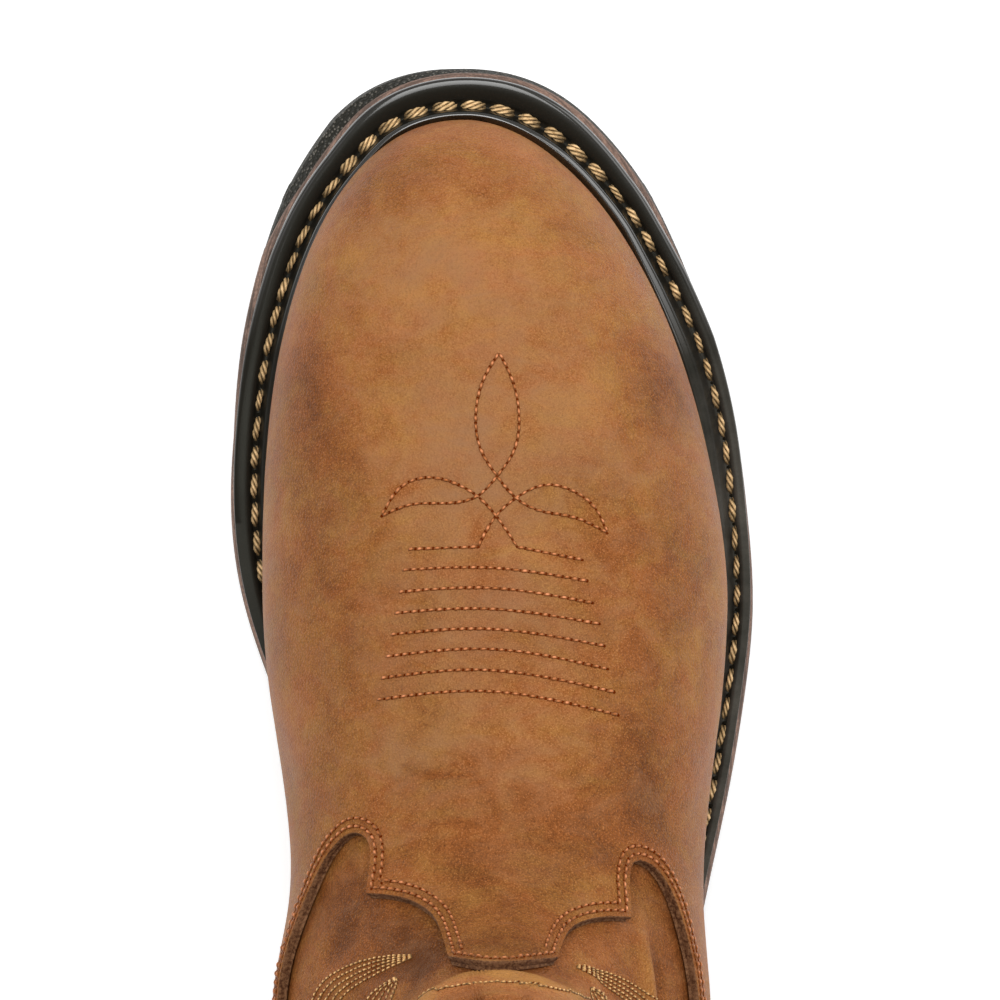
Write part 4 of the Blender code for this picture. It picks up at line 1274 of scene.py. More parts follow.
def make_shaft(scene):
    """Hollow shaft tucked under the vamp, with a turned collar and a bead along each side."""
    leather = scene.boot_leather
    across = np.linspace(1.0, -1.0, SHAFT_COLUMNS_COUNT)
    start, line = shaft_start(across)
    share = np.linspace(0.0, 1.0, SHAFT_ROWS_COUNT)[:, None]
    rows = start + (COLLAR_ROW - start) * share
    across = np.broadcast_to(across, rows.shape)
    tucked = np.clip((rows - line) / TUCK_FADE, 0.0, 1.0)
    relief = shaft_relief(rows, across) * tucked
    outer = FORM.inside(rows, across, SHAFT_DEPTH - relief)
    rim = turned_edge(across[-1], rows[-1], SHAFT_DEPTH, relief[-1])
    inner = FORM.inside(rows, across, np.full(rows.shape, SHAFT_DEPTH + LEATHER))
    materials = [
        leather_finish("shaft leather", leather, SHAFT_LEVEL),
        cut_edge_finish("collar edge", leather),
        flesh_finish("shaft lining", leather.lining),
    ]
    grid = back_joined(np.concatenate([outer[:-1], rim]), 0)
    piece = leather_wall("upper_shaft", grid, back_joined(inner, 0), 0, len(CUT_EDGE) - 1, materials)
    points = boot_points(piece.data)
    # The folds get painted light and shade: ridges paler and golder as a painted highlight, troughs darker as
    # painted shade
    fold = crease_relief(points, SHAFT_CREASES, SHAFT_DEPTH)
    tone, paler = (np.clip(by * fold, least, most) for by, least, most in (FOLD_LIGHT_AND_SHADE, FOLD_HIGHLIGHT_GOLD))
    store(piece.data, "tone", tone + patches(SHAFT_HIGHLIGHT_AND_TONE_PATCHES, points))
    store(piece.data, "ruddy", SHAFT_RUDDY - paler)
    store(piece.data, "dusty", np.zeros(len(points)))
    settle(piece, "shaft_leather", "shaft")


# Sole

# Steps along the sole's plates and along the leather's lower edge, and the rounding of the plates' edges
PLATE_STEPS = 180
SEAT_STEPS = 1200
LIP_ANGLE = 35.0
LIP_SEGMENTS = 2

# Where the outsole's side turns in: share of its thickness, and of the bumper that is left there
BUMPER_TURN = 0.62
BUMPER_LEFT = 0.72

# Where the midsole's edge turns in: share of its thickness, and of its chamfer
CHAMFER_TURN = 0.55
CHAMFER_START = 0.25

# Moulded skins of the rubber: relief in metres, gloss and, for the welt, how strongly it reflects
OUTSOLE_SKIN = (0.0006, 0.0)
HEEL_SKIN = (0.0005, 0.45)
WELT_SKIN = (0.00010, 0.9, 0.10)


def edge_stations(steps, extra=()):
    """Stations for the sole's edges, close together at the toe and heel, with any others asked for."""
    turn = np.linspace(0.0, math.pi, steps + 1)[1:-1]
    even = SOLE_LENGTH * (1.0 - np.cos(turn)) / 2.0
    keep = [s for s in even if all(abs(s - e) > TREAD_DRAFT / 2.0 for e in extra)]
    return np.array(sorted([*keep, *extra]))


def edge_at(edge, stations):
    """Toe point, medial and lateral points and heel point of an edge, at shares of its own length."""
    medial, lateral = split_sides(edge)
    toe, heel = medial[0, 1], medial[-1, 1]
    own = toe + (heel - toe) * stations / SOLE_LENGTH
    inner = np.stack([np.interp(own, medial[:, 1], medial[:, 0]), own], axis=1)
    outer = np.stack([np.interp(own, lateral[:, 1], lateral[:, 0]), own], axis=1)
    return medial[0], inner, outer, medial[-1]


def plate_rows(edge, stations, height, shares=(0.0, 1.0)):
    """Rows of points across a plate, from its toe point to its heel point."""
    toe, inner, outer, heel = edge_at(edge, stations)
    rows = [[(*toe, height(toe[1], 0.5))]]
    for a, b in zip(inner, outer):
        across = [a + (b - a) * share for share in shares]
        rows.append([(*p, height(p[1], share)) for p, share in zip(across, shares)])
    rows.append([(*heel, height(heel[1], 0.5))])
    return rows


def add_plate(name, layers, materials, lip):
    """A closed plate through sets of rows from its foot to its top; the first and last are closed across."""
    points = []
    faces = []

    def numbered(rows):
        numbers = []
        for row in rows:
            numbers.append(list(range(len(points), len(points) + len(row))))
            points.extend(row)
        return numbers

    def sheet(numbers, flip):
        for a, b in zip(numbers, numbers[1:]):
            if len(a) == 1:
                made = [(a[0], q, p) for p, q in zip(b, b[1:])]
            elif len(b) == 1:
                made = [(p, q, b[0]) for p, q in zip(a, a[1:])]
            else:
                made = [(a[k], a[k + 1], b[k + 1], b[k]) for k in range(len(a) - 1)]
            faces.extend(face[::-1] if flip else face for face in made)

    sets = [numbered(rows) for rows in layers]
    sheet(sets[0], False)
    sheet(sets[-1], True)
    for below, above in zip(sets, sets[1:]):
        for k in range(len(below) - 1):
            faces.append((below[k][0], below[k + 1][0], above[k + 1][0], above[k][0]))
            faces.append((below[k + 1][-1], below[k][-1], above[k][-1], above[k + 1][-1]))
    for end in (0, -1):
        if len(sets[0][end]) > 1:
            wall = (*sets[0][end], *[rows[end][-1] for rows in sets[1:-1]], *reversed(sets[-1][end]))
            wall += tuple(rows[end][0] for rows in reversed(sets[1:-1]))
            faces.append(wall if end else wall[::-1])
    piece = add_piece(name, points, faces, materials)
    bevel = piece.modifiers.new("lip", "BEVEL")
    bevel.limit_method = "ANGLE"
    bevel.angle_limit = math.radians(LIP_ANGLE)
    bevel.width = lip
    bevel.segments = LIP_SEGMENTS
    bevel.harden_normals = False
    return piece


def groove_edges(first, last):
    """Stations of each groove's lip, floor, floor and lip, at the tread's pitch."""
    lips = np.arange(first, last - TREAD_GROOVE, TREAD_PITCH)
    steps = (0.0, TREAD_DRAFT, TREAD_GROOVE - TREAD_DRAFT, TREAD_GROOVE)
    return np.array([[lip + step for step in steps] for lip in lips])


def in_groove(station, grooves):
    """Whether a station lies on the floor of a groove."""
    slack = TREAD_DRAFT / 2.0
    return bool(np.any((station > grooves[:, 1] - slack) & (station < grooves[:, 2] + slack)))


def make_outsole(scene):
    """Rubber outsole with a bumper round the toe and grooves across and along its forefoot."""
    sole = scene.boot_sole
    grooves = groove_edges(*FOREFOOT_GROOVES)
    stations = edge_stations(PLATE_STEPS, grooves.ravel())

    def foot(station, share):
        cut = in_groove(station, grooves)
        along = CHANNEL[1] <= share <= CHANNEL[2] and CHANNEL_SPAN[0] < station < CHANNEL_SPAN[1]
        return float(tread_height(station)) + (TREAD_DEPTH if cut or along else 0.0)

    def side(station, share):
        return float(tread_height(station)) + OUTSOLE_THICKNESS * BUMPER_TURN

    def top(station, share):
        return float(tread_height(station)) + OUTSOLE_THICKNESS - GAP

    layers = [
        plate_rows(OUTLINE_EDGE.bumper(), stations, foot, (0.0, *CHANNEL, 1.0)),
        plate_rows(OUTLINE_EDGE.bumper(BUMPER_LEFT), stations, side),
        plate_rows(OUTLINE_EDGE.edge(0.0), stations, top),
    ]
    finish = rubber_finish("outsole rubber", sole, *OUTSOLE_SKIN)
    piece = add_plate("sole_outsole", layers, [finish], sole.lip)
    settle(piece, "outsole_rubber", "outsole")


def make_midsole(scene):
    """Brown midsole with its upper edge chamfered."""
    sole = scene.boot_sole
    stations = edge_stations(PLATE_STEPS)

    def at(share):
        return lambda station, _: float(tread_height(station)) + OUTSOLE_THICKNESS + MIDSOLE_THICKNESS * share

    out = read_pairs(FLUSH, OUTLINE_EDGE.along)
    turns = ((0.0, 0.0), (CHAMFER_START, CHAMFER_TURN), (1.0, 1.0))
    layers = []
    for inward, share in turns:
        layers.append(plate_rows(OUTLINE_EDGE.edge(out - inward * MIDSOLE_CHAMFER), stations, at(share)))
    piece = add_plate("sole_midsole", layers, [midsole_finish("midsole", sole)], sole.lip)
    settle(piece, "midsole", "midsole")


def make_heel(scene):
    """Heel block with bars across its tread."""
    sole = scene.boot_sole
    grooves = groove_edges(*HEEL_GROOVES)
    stations = edge_stations(PLATE_STEPS, [HEEL_BREAST, *grooves.ravel()])
    first = 1 + int(np.argmax(stations >= HEEL_BREAST - TINY))

    def foot(station, share):
        return TREAD_DEPTH if in_groove(station, grooves) else 0.0

    def top(station, share):
        return float(tread_height(station)) - GAP

    layers = [
        plate_rows(OUTLINE_EDGE.edge(-HEEL_TAPER), stations, foot)[first:],
        plate_rows(OUTLINE_EDGE.edge(-GAP), stations, top)[first:],
    ]
    piece = add_plate("sole_heel", layers, [rubber_finish("heel rubber", sole, *HEEL_SKIN)], sole.lip)
    settle(piece, "heel_rubber", "heel")


def seat_loop(out):
    """Closed plan loop of the leather's lower edge, moved out by a distance."""
    rows = np.linspace(0.0, HEEL_ROW, SEAT_STEPS)
    medial = FORM.point(rows, 1.0)[:, :2]
    lateral = FORM.point(rows, -1.0)[:, :2]
    loop = np.vstack([medial, lateral[::-1][1:-1]])
    return loop + loop_outward(loop) * out


def make_insole(scene):
    """Leather insole on the midsole."""
    sole = scene.boot_sole
    stations = edge_stations(PLATE_STEPS)
    edge = seat_loop(-LEATHER - INSOLE_CLEAR)

    def at(lift):
        return lambda station, _: float(seat_height(station)) + lift

    layers = [plate_rows(edge, stations, at(0.0)), plate_rows(edge, stations, at(INSOLE_THICKNESS))]
    piece = add_plate("insole_board", layers, [flesh_finish("insole leather", sole.insole)], sole.lip)
    settle(piece, "insole_leather", "insole")


def rounded(profile, rounds):
    """An open profile with its corners cut round, its two ends and its last corner kept."""
    for _ in range(rounds):
        points = [profile[0]]
        for a, b in zip(profile[:-2], profile[1:-1]):
            points.extend([a + (b - a) * CORNER_CUT, a + (b - a) * (1.0 - CORNER_CUT)])
        profile = np.vstack([points, profile[-2:]])
    return profile


WELT_STEPS = 900


def welt_edges():
    """Outer and inner plan loops of the welt, and the share across it at which its channel runs."""
    inset = read_pairs(WELT_LIP, OUTLINE_EDGE.along)
    lip = np.column_stack([OUTLINE_EDGE.edge(-inset), read_pairs(WELT_SEAM, OUTLINE_EDGE.along)])
    closed = np.vstack([lip, lip[:1]])
    knots = run_lengths(closed)
    read = read_straight(knots, closed, np.linspace(0.0, knots[-1], WELT_STEPS, endpoint=False))
    outside, seam = read[:, :2], read[:, 2]
    wall = seat_loop(WELT_CLEAR)
    nearest = np.argmin(np.linalg.norm(outside[:, None] - wall[None], axis=2), axis=1)
    return outside, wall[nearest], seam


def make_welt(scene):
    """Storm welt swept round the upper: a flange, a stitch channel and a rib."""
    profile = rounded(np.array(WELT, float), CORNER_ROUNDS)
    outside, inside, seam = welt_edges()
    glossy = 1.0 - share_between(outside[:, 1], *GLOSS_FADE)
    sharp = share_between(outside[:, 1], *ROUND_FADE)
    rings = []
    coat = []
    for share, height in profile:
        outer_share = seam * share / CHANNEL_SHARE
        inner_share = 1.0 - (1.0 - seam) * (1.0 - share) / (1.0 - CHANNEL_SHARE)
        across = np.where(share < CHANNEL_SHARE, outer_share, inner_share)
        if share < LIP_SHARE:
            across = across * (1.0 - (1.0 - SHARP_LIP) * sharp)
        shine = max(height - GLOSS_HEIGHT, GLOSS_LIP * (LIP_SHARE - share))
        coat.append(glossy * np.clip(shine, 0.0, 1.0))
        plan = outside + (inside - outside) * across[:, None]
        rings.append(np.column_stack([plan, seat_height(plan[:, 1]) + height]))
    faces = []
    for ring in range(len(profile)):
        this, after = ring * WELT_STEPS, (ring + 1) % len(profile) * WELT_STEPS
        for k in range(WELT_STEPS):
            n = (k + 1) % WELT_STEPS
            faces.append((this + k, this + n, after + n, after + k))
    finish = rubber_finish("welt rubber", scene.boot_sole, *WELT_SKIN)
    piece = add_piece("sole_welt", np.vstack(rings), faces, [finish], layers={"coat": np.concatenate(coat)})
    points = boot_points(piece.data)
    lateral = np.clip(-points[:, 0] / CHALK_SIDE, 0.0, 1.0)
    store(piece.data, "dusty", lateral * share_between(points[:, 1], *CHALK_FADE))
    settle(piece, "welt_rubber", "welt")


# Sewing


def surface_tree(name):
    """A search tree over a finished piece's surface."""
    return BVHTree.FromObject(bpy.data.objects[name], bpy.context.evaluated_depsgraph_get())


def dropped(tree, plan):
    """World points and normals on a surface straight under points given in plan."""
    spots = []
    normals = []
    for side, station in plan:
        start = Vector(place((side, station, BACK_HEIGHT * 2.0)))
        hit, normal = tree.ray_cast(start, Vector((0.0, 0.0, -1.0)))[:2]
        if hit is None:
            raise RuntimeError(f"no leather under side {side:.1f}, station {station:.1f}")
        spots.append(hit)
        normals.append(normal)
    return np.array(spots), np.array(normals)


def nearest_on(tree, points):
    """World points and normals on a surface nearest to world points."""
    found = [tree.find_nearest(Vector(p))[:2] for p in points]
    return np.array([f[0] for f in found]), np.array([f[1] for f in found])


def stitch_points(path, normals, pitch):
    """Stitch middles one pitch apart along a path in metres, with directions along it and outward."""
    knots = run_lengths(path)
    middles, along = even_run(path, pitch)
    at = run_lengths(middles)
    at = at * knots[-1] / max(at[-1] + pitch, TINY) + pitch / 2.0
    return middles, along, read_straight(knots, normals, at)


# Faces round and along the ball of a needle hole
HOLE_SEGMENTS = 6
HOLE_RINGS = 3

# Fine stitch: reach and lean of its ends in stitch lengths; how deep they sink, how high the middle of its
# curve stands, the height at which its painted highlight is full and how wide its hole is in thread radii;
# then the points along it, the sides of its thread, the hole's proportions, and the least and the most of
# each size
FINE_REACH = 0.36
FINE_LEAN = 0.05
FINE_SINK = 0.7
FINE_RISE = 2.6
FINE_CREST = 1.9
FINE_HOLE = 1.4
FINE_POINTS = 5
FINE_SIDES = 6
FINE_HOLE_SHAPE = (1.1, 0.9, 0.22)
FINE_VARY = ((0.85, 0.80, 0.70), (1.10, 1.15, 1.20))
FINE_HOLE_VARY = ((1.0, 0.75, 1.0), (1.0, 1.20, 1.0))

# Welt stitch: strands and their turns; its length in stitch lengths; how far out a strand lies, how deep the
# ends dive, how far from its axis its painted highlight is full, and how wide and deep its hole is in strand
# radii;
# how sharply it bends over, how much painted shade the bend puts on it and how much painted light its front
# end gets over its back; then points, sides, the hole and its variation
WELT_STRANDS = 3
WELT_TURNS = 1.15
WELT_LENGTH = 0.90
WELT_OFFSET = 1.15
WELT_DIVE = 4.6
WELT_CREST = 2.15
WELT_HOLE = 2.4
WELT_HOLE_DROP = 1.6
WELT_BEND = 2.5
WELT_BEND_SHADE = 0.60
WELT_FRONT_LIGHT = 0.16
WELT_POINTS = 10
WELT_SIDES = 5
WELT_HOLE_SHAPE = (0.6, 1.0, 0.22)
WELT_VARY = ((0.92, 0.80, 0.80), (1.07, 1.12, 1.15))
WELT_HOLE_VARY = ((1.0, 0.9, 1.0), (1.0, 1.1, 1.0))

# Threads: how dark one is painted where it dives, as painted shade, and how strongly it reflects
VAMP_THREAD = (0.34, 0.35)
SHAFT_THREAD = (0.16, 0.5)
WELT_THREAD = (0.10, 0.5)
SHAFT_THREAD_SHARE = 0.7

# Points along a curve in plan and along one on the form
PLAN_POINTS = 160
FORM_POINTS = 200


class StitchTree:
    """Geometry nodes that set one stitch on every point of a mesh, by its stored directions."""

    def __init__(self, name):
        self.tree = bpy.data.node_groups.new(name, "GeometryNodeTree")
        self.tree.interface.new_socket("Geometry", in_out="INPUT", socket_type="NodeSocketGeometry")
        self.tree.interface.new_socket("Geometry", in_out="OUTPUT", socket_type="NodeSocketGeometry")
        self.start = self.tree.nodes.new("NodeGroupInput")
        self.end = self.tree.nodes.new("NodeGroupOutput")
        self.identifiers = {}
        self.length = self.size("Stitch Length")
        self.radius = self.size("Thread Radius")
        self.seed = self.size("Seed", "NodeSocketInt")

    def size(self, name, kind="NodeSocketFloat"):
        """A named input, and its output inside the tree."""
        socket = self.tree.interface.new_socket(name, in_out="INPUT", socket_type=kind)
        self.identifiers[name] = socket.identifier
        return next(s for s in self.start.outputs if s.identifier == socket.identifier)

    def node(self, kind, settings=None, sockets=None, output=0):
        """One output of a new node, with its settings made and its sockets fed."""
        made = self.tree.nodes.new(kind)
        for name, value in (settings or {}).items():
            setattr(made, name, value)
        for key, value in (sockets or {}).items():
            for one in value if isinstance(value, list) else [value]:
                if isinstance(one, bpy.types.NodeSocket):
                    self.tree.links.new(one, made.inputs[key])
                else:
                    made.inputs[key].default_value = one
        return made.outputs[output]

    def math(self, operation, first, second=0.0, clamp=False):
        """A sum on two numbers or inputs."""
        settings = {"operation": operation, "use_clamp": clamp}
        return self.node("ShaderNodeMath", settings, {0: first, 1: second})

    def lengths(self, count):
        """A number of stitch lengths."""
        return self.math("MULTIPLY", self.length, count)

    def radii(self, count):
        """A number of thread radii."""
        return self.math("MULTIPLY", self.radius, count)

    def vector(self, x=0.0, y=0.0, z=0.0):
        """A vector of three numbers or inputs."""
        return self.node("ShaderNodeCombineXYZ", None, {0: x, 1: y, 2: z})

    def strand(self, curve, sides):
        """A round thread along a curve."""
        ring = {"Resolution": sides, "Radius": self.radius}
        profile = self.node("GeometryNodeCurvePrimitiveCircle", None, ring)
        swept = {"Curve": curve, "Profile Curve": profile, "Fill Caps": True}
        return self.node("GeometryNodeCurveToMesh", None, swept)

    def pit(self, size, drop, shape):
        """A flattened ball at a stitch's front end for the painted shade of a needle hole, its size and drop
        in thread radii.
        """
        ball = {"Segments": HOLE_SEGMENTS, "Rings": HOLE_RINGS, "Radius": self.radii(size)}
        spot = self.vector(self.lengths(0.5), 0.0, self.radii(-drop))
        moved = {
            "Geometry": self.node("GeometryNodeMeshUVSphere", None, ball),
            "Translation": spot, "Scale": shape,
        }
        return self.node("GeometryNodeTransform", None, moved)

    def sewn(self, shape, material, sizes):
        """A shape set on each point, turned by its directions, varied in size, realized and finished."""
        vectors = {"data_type": "FLOAT_VECTOR"}
        axes = {}
        for socket, name in (("Primary Axis", "out"), ("Secondary Axis", "along")):
            axes[socket] = self.node("GeometryNodeInputNamedAttribute", vectors, {"Name": name})
        turn = self.node("FunctionNodeAxesToRotation", {"primary_axis": "Z", "secondary_axis": "X"}, axes)
        least, most = sizes
        vary = {"Min": least, "Max": most, "Seed": self.seed}
        scale = self.node("FunctionNodeRandomValue", vectors, vary)
        points = {"Points": self.start.outputs[0], "Instance": shape, "Rotation": turn, "Scale": scale}
        many = self.node("GeometryNodeInstanceOnPoints", None, points)
        real = self.node("GeometryNodeRealizeInstances", None, {"Geometry": many})
        smooth = self.node("GeometryNodeSetShadeSmooth", None, {"Geometry": real})
        return self.node("GeometryNodeSetMaterial", None, {"Geometry": smooth, "Material": material})

    def crested(self, shape, share):
        """A shape with a share kept on its points, for painted light and shade on the thread, paler on its
        crest than at its ends.
        """
        kept = {"Geometry": shape, "Name": "crest", "Value": share}
        return self.node("GeometryNodeStoreNamedAttribute", {"data_type": "FLOAT", "domain": "POINT"}, kept)

    def close(self, parts):
        """Joins the parts into the tree's output."""
        whole = self.node("GeometryNodeJoinGeometry", None, {"Geometry": parts})
        self.tree.links.new(whole, self.end.inputs[0])


def fine_stitch_tree(name, thread, hole):
    """A short arched stitch, painted paler on top than at its ends, with a dark ball at its front end that
    stands for the painted shade of a needle hole.
    """
    made = StitchTree(name)
    sink = made.radii(-FINE_SINK)
    ends = {
        "Resolution": FINE_POINTS,
        "Start": made.vector(made.lengths(-FINE_REACH), made.lengths(-FINE_LEAN), sink),
        "Middle": made.vector(0.0, 0.0, made.radii(FINE_RISE)),
        "End": made.vector(made.lengths(FINE_REACH), made.lengths(FINE_LEAN), sink),
    }
    arch = made.node("GeometryNodeCurveQuadraticBezier", None, ends)
    stitch = made.strand(arch, FINE_SIDES)
    height = made.node("ShaderNodeSeparateXYZ", None, {0: made.node("GeometryNodeInputPosition")}, 2)
    shaded = made.crested(stitch, made.math("DIVIDE", height, made.radii(FINE_CREST), True))
    pit = made.pit(FINE_HOLE, 0.0, FINE_HOLE_SHAPE)
    made.close([made.sewn(shaded, thread, FINE_VARY), made.sewn(pit, hole, FINE_HOLE_VARY)])
    return made


def twisted_stitch_tree(name, thread, hole):
    """A heavy stitch of strands twisted together, arched over the channel, painted paler where its strands
    stand out and at its front and darker where they bend down, with a dark ball at its front for the painted
    shade of its hole.
    """
    made = StitchTree(name)
    offset = made.radii(WELT_OFFSET)
    lying = (0.0, math.radians(90.0), 0.0)
    strands = []
    for turn in range(WELT_STRANDS):
        coil = {
            "Resolution": WELT_POINTS, "Rotations": WELT_TURNS, "Start Radius": offset, "End Radius": offset,
            "Height": made.lengths(WELT_LENGTH),
        }
        spiral = made.node("GeometryNodeCurveSpiral", None, coil)
        spin = (0.0, 0.0, turn * 2.0 * math.pi / WELT_STRANDS)
        spun = made.node("GeometryNodeTransform", None, {"Geometry": spiral, "Rotation": spin})
        front = made.vector(made.lengths(-WELT_LENGTH / 2.0))
        laid = {"Geometry": spun, "Rotation": lying, "Translation": front}
        strands.append(made.strand(made.node("GeometryNodeTransform", None, laid), WELT_SIDES))
    rope = made.node("GeometryNodeJoinGeometry", None, {"Geometry": strands})
    spot = made.node("GeometryNodeInputPosition")
    flat = made.node("ShaderNodeVectorMath", {"operation": "MULTIPLY"}, {0: spot, 1: (0.0, 1.0, 1.0)})
    from_axis = made.node("ShaderNodeVectorMath", {"operation": "LENGTH"}, {0: flat}, "Value")
    x = made.node("ShaderNodeSeparateXYZ", None, {0: spot})
    share = made.math("DIVIDE", x, made.lengths(0.5))
    bent = made.math("POWER", made.math("ABSOLUTE", share), WELT_BEND)
    drop = made.math("MULTIPLY", bent, made.radii(-WELT_DIVE))
    out_share = made.math("DIVIDE", from_axis, made.radii(WELT_CREST))
    crest = made.math("SUBTRACT", out_share, made.math("MULTIPLY", bent, WELT_BEND_SHADE))
    facing = made.math("ADD", crest, made.math("MULTIPLY", share, WELT_FRONT_LIGHT))
    bend = {"Geometry": made.crested(rope, facing), "Offset": made.vector(0.0, 0.0, drop)}
    arched = made.node("GeometryNodeSetPosition", None, bend)
    pit = made.pit(WELT_HOLE, WELT_HOLE_DROP, WELT_HOLE_SHAPE)
    made.close([made.sewn(arched, thread, WELT_VARY), made.sewn(pit, hole, WELT_HOLE_VARY)])
    return made


def sew(name, made, rows, sizes, slot):
    """A piece of stitches: points with directions, the stitch tree over them, and the plain mesh it makes."""
    middles, along, out = (np.vstack([row[k] for row in rows]) for k in range(3))
    mesh = bpy.data.meshes.new(name)
    mesh.from_pydata([tuple(p) for p in middles], [], [])
    for label, ways in (("along", along), ("out", out)):
        layer = mesh.attributes.new(label, "FLOAT_VECTOR", "POINT")
        layer.data.foreach_set("vector", np.asarray(ways, np.float32).ravel())
    piece = bpy.data.objects.new(name, mesh)
    bpy.context.scene.collection.objects.link(piece)
    modifier = piece.modifiers.new("stitches", "NODES")
    modifier.node_group = made.tree
    for label, value in sizes.items():
        modifier[made.identifiers[label]] = value
    ready = piece.evaluated_get(bpy.context.evaluated_depsgraph_get())
    plain = bpy.data.meshes.new_from_object(ready)
    piece.modifiers.remove(modifier)
    piece.data = plain
    plain.name = name
    settle(piece, slot)


def plan_rows(tree, curves, pitch):
    """Stitch rows along smooth curves given in plan, dropped on to the leather."""
    rows = []
    for curve in curves:
        run = smooth_run(curve, PLAN_POINTS)
        rows.append(stitch_points(*dropped(tree, run), pitch))
    return rows


def form_rows(tree, curves, pitch):
    """Stitch rows on the shaft along smooth curves given as share across and section row."""
    rows = []
    for curve in curves:
        run = smooth_run(curve, FORM_POINTS, FORM_SCALE)
        points = place(FORM.inside(run[:, 1], run[:, 0], np.full(len(run), SHAFT_DEPTH)))
        rows.append(stitch_points(*nearest_on(tree, points), pitch))
    return rows


def topline_path(inset, tongue):
    """Points on the vamp at a distance inside its top edge, all round or without the tongue's end."""
    edges = []
    moved = []
    for side, sign in (("medial", 1.0), ("lateral", -1.0)):
        runs = topline_runs(side)
        kept = []
        for k, run in enumerate(runs):
            edge = FORM.point(run[:, 1], run[:, 0] * sign)
            edges.append(edge)
            out = FORM.outward(run[:, 1], run[:, 0] * sign)
            ahead = np.gradient(edge, axis=0)
            ahead /= np.linalg.norm(ahead, axis=1, keepdims=True)
            into = np.cross(out, ahead) * -sign
            if k or tongue:
                kept.append(edge + into * inset)
        moved.append(np.vstack(kept))
    path = np.vstack([moved[0][::-1], moved[1]])
    edge = np.vstack(edges)
    clear = np.array([np.linalg.norm(edge - p, axis=1).min() for p in path]) > inset * TOPLINE_CLEAR
    return path, clear


def make_vamp_stitching(scene):
    """Toe stitching and the double row along the vamp's top edge."""
    thread = scene.boot_thread
    pitch = thread.vamp_pitch
    tree = surface_tree("upper_vamp")
    rows = plan_rows(tree, [*TOE_LEAF, *TOE_WINGS, *TOE_SHORT_ROWS, *TOE_ROWS], pitch)
    for inset, tongue in TOPLINE_ROWS:
        path, clear = topline_path(inset, tongue)
        if tongue:
            stretches = [path[clear]]
        else:
            middle = len(path) // 2
            stretches = [path[:middle][clear[:middle]], path[middle:][clear[middle:]]]
        for stretch in stretches:
            rows.append(stitch_points(*nearest_on(tree, place(stretch)), pitch))
    finish = thread_finish("vamp thread", thread.vamp, *VAMP_THREAD)
    made = fine_stitch_tree("vamp stitch", finish, hole_finish("vamp needle hole", thread.hole))
    sizes = {"Stitch Length": pitch, "Thread Radius": thread.fine_radius, "Seed": thread.seed}
    sew("sewing_vamp", made, rows, sizes, "vamp_leather")


def between_curves(outer, inner, count):
    """Curves spread evenly from one curve to another."""
    first = smooth_run(outer, LEAF_POINTS, FORM_SCALE)
    last = smooth_run(inner, LEAF_POINTS, FORM_SCALE)
    return [first + (last - first) * k / (count - 1) for k in range(count)]


def make_shaft_stitching(scene):
    """Nested leaves beside the tongue, an arch over it, side seams and the collar's row."""
    thread = scene.boot_thread
    tree = surface_tree("upper_shaft")
    curves = []
    for outer, inner in ((SHAFT_LEAF_OUTER, SHAFT_LEAF_INNER), (SHAFT_FLAME_OUTER, SHAFT_FLAME_INNER)):
        medial = between_curves(outer, inner, LEAF_ROWS)
        curves.extend(medial)
        curves.extend(curve * (-1.0, 1.0) + (0.0, SHAFT_LATERAL_LIFT) for curve in medial)
    curves.append(SHAFT_ARCH)
    for side in (-1.0, 1.0):
        for beside in SEAM_BESIDE:
            across = side * SIDE_SEAM_ACROSS + beside
            first = float(shaft_start(across)[1])
            for _ in range(SEAM_TRIES):
                first = float(shaft_start(across + side * seam_steer(first))[1])
            run = np.linspace(first, COLLAR_ROW - SEAM_END, SEAM_POINTS)
            curves.append(np.column_stack([across + side * seam_steer(run), run]))
    curves.append([(share, COLLAR_ROW - COLLAR_INSET) for share in np.linspace(-1.0, 1.0, COLLAR_POINTS)])
    rows = form_rows(tree, curves, thread.shaft_pitch)
    finish = thread_finish("shaft thread", thread.shaft, *SHAFT_THREAD)
    made = fine_stitch_tree("shaft stitch", finish, hole_finish("shaft needle hole", thread.hole))
    radius = thread.fine_radius * SHAFT_THREAD_SHARE
    sizes = {"Stitch Length": thread.shaft_pitch, "Thread Radius": radius, "Seed": thread.seed + 1}
    sew("sewing_shaft", made, rows, sizes, "shaft_leather")


# Stretch of the welt round the toe that is sewn twice: the lateral and medial ends by the way along the edge
TWICE_SEWN = (-36.0, 30.0)
WELT_LEAN = 0.10

# How high a welt stitch lies over its channel, and how far a doubled one lies to each side, in strand radii
WELT_LIFT = 1.5
WELT_SHIFT = 1.25


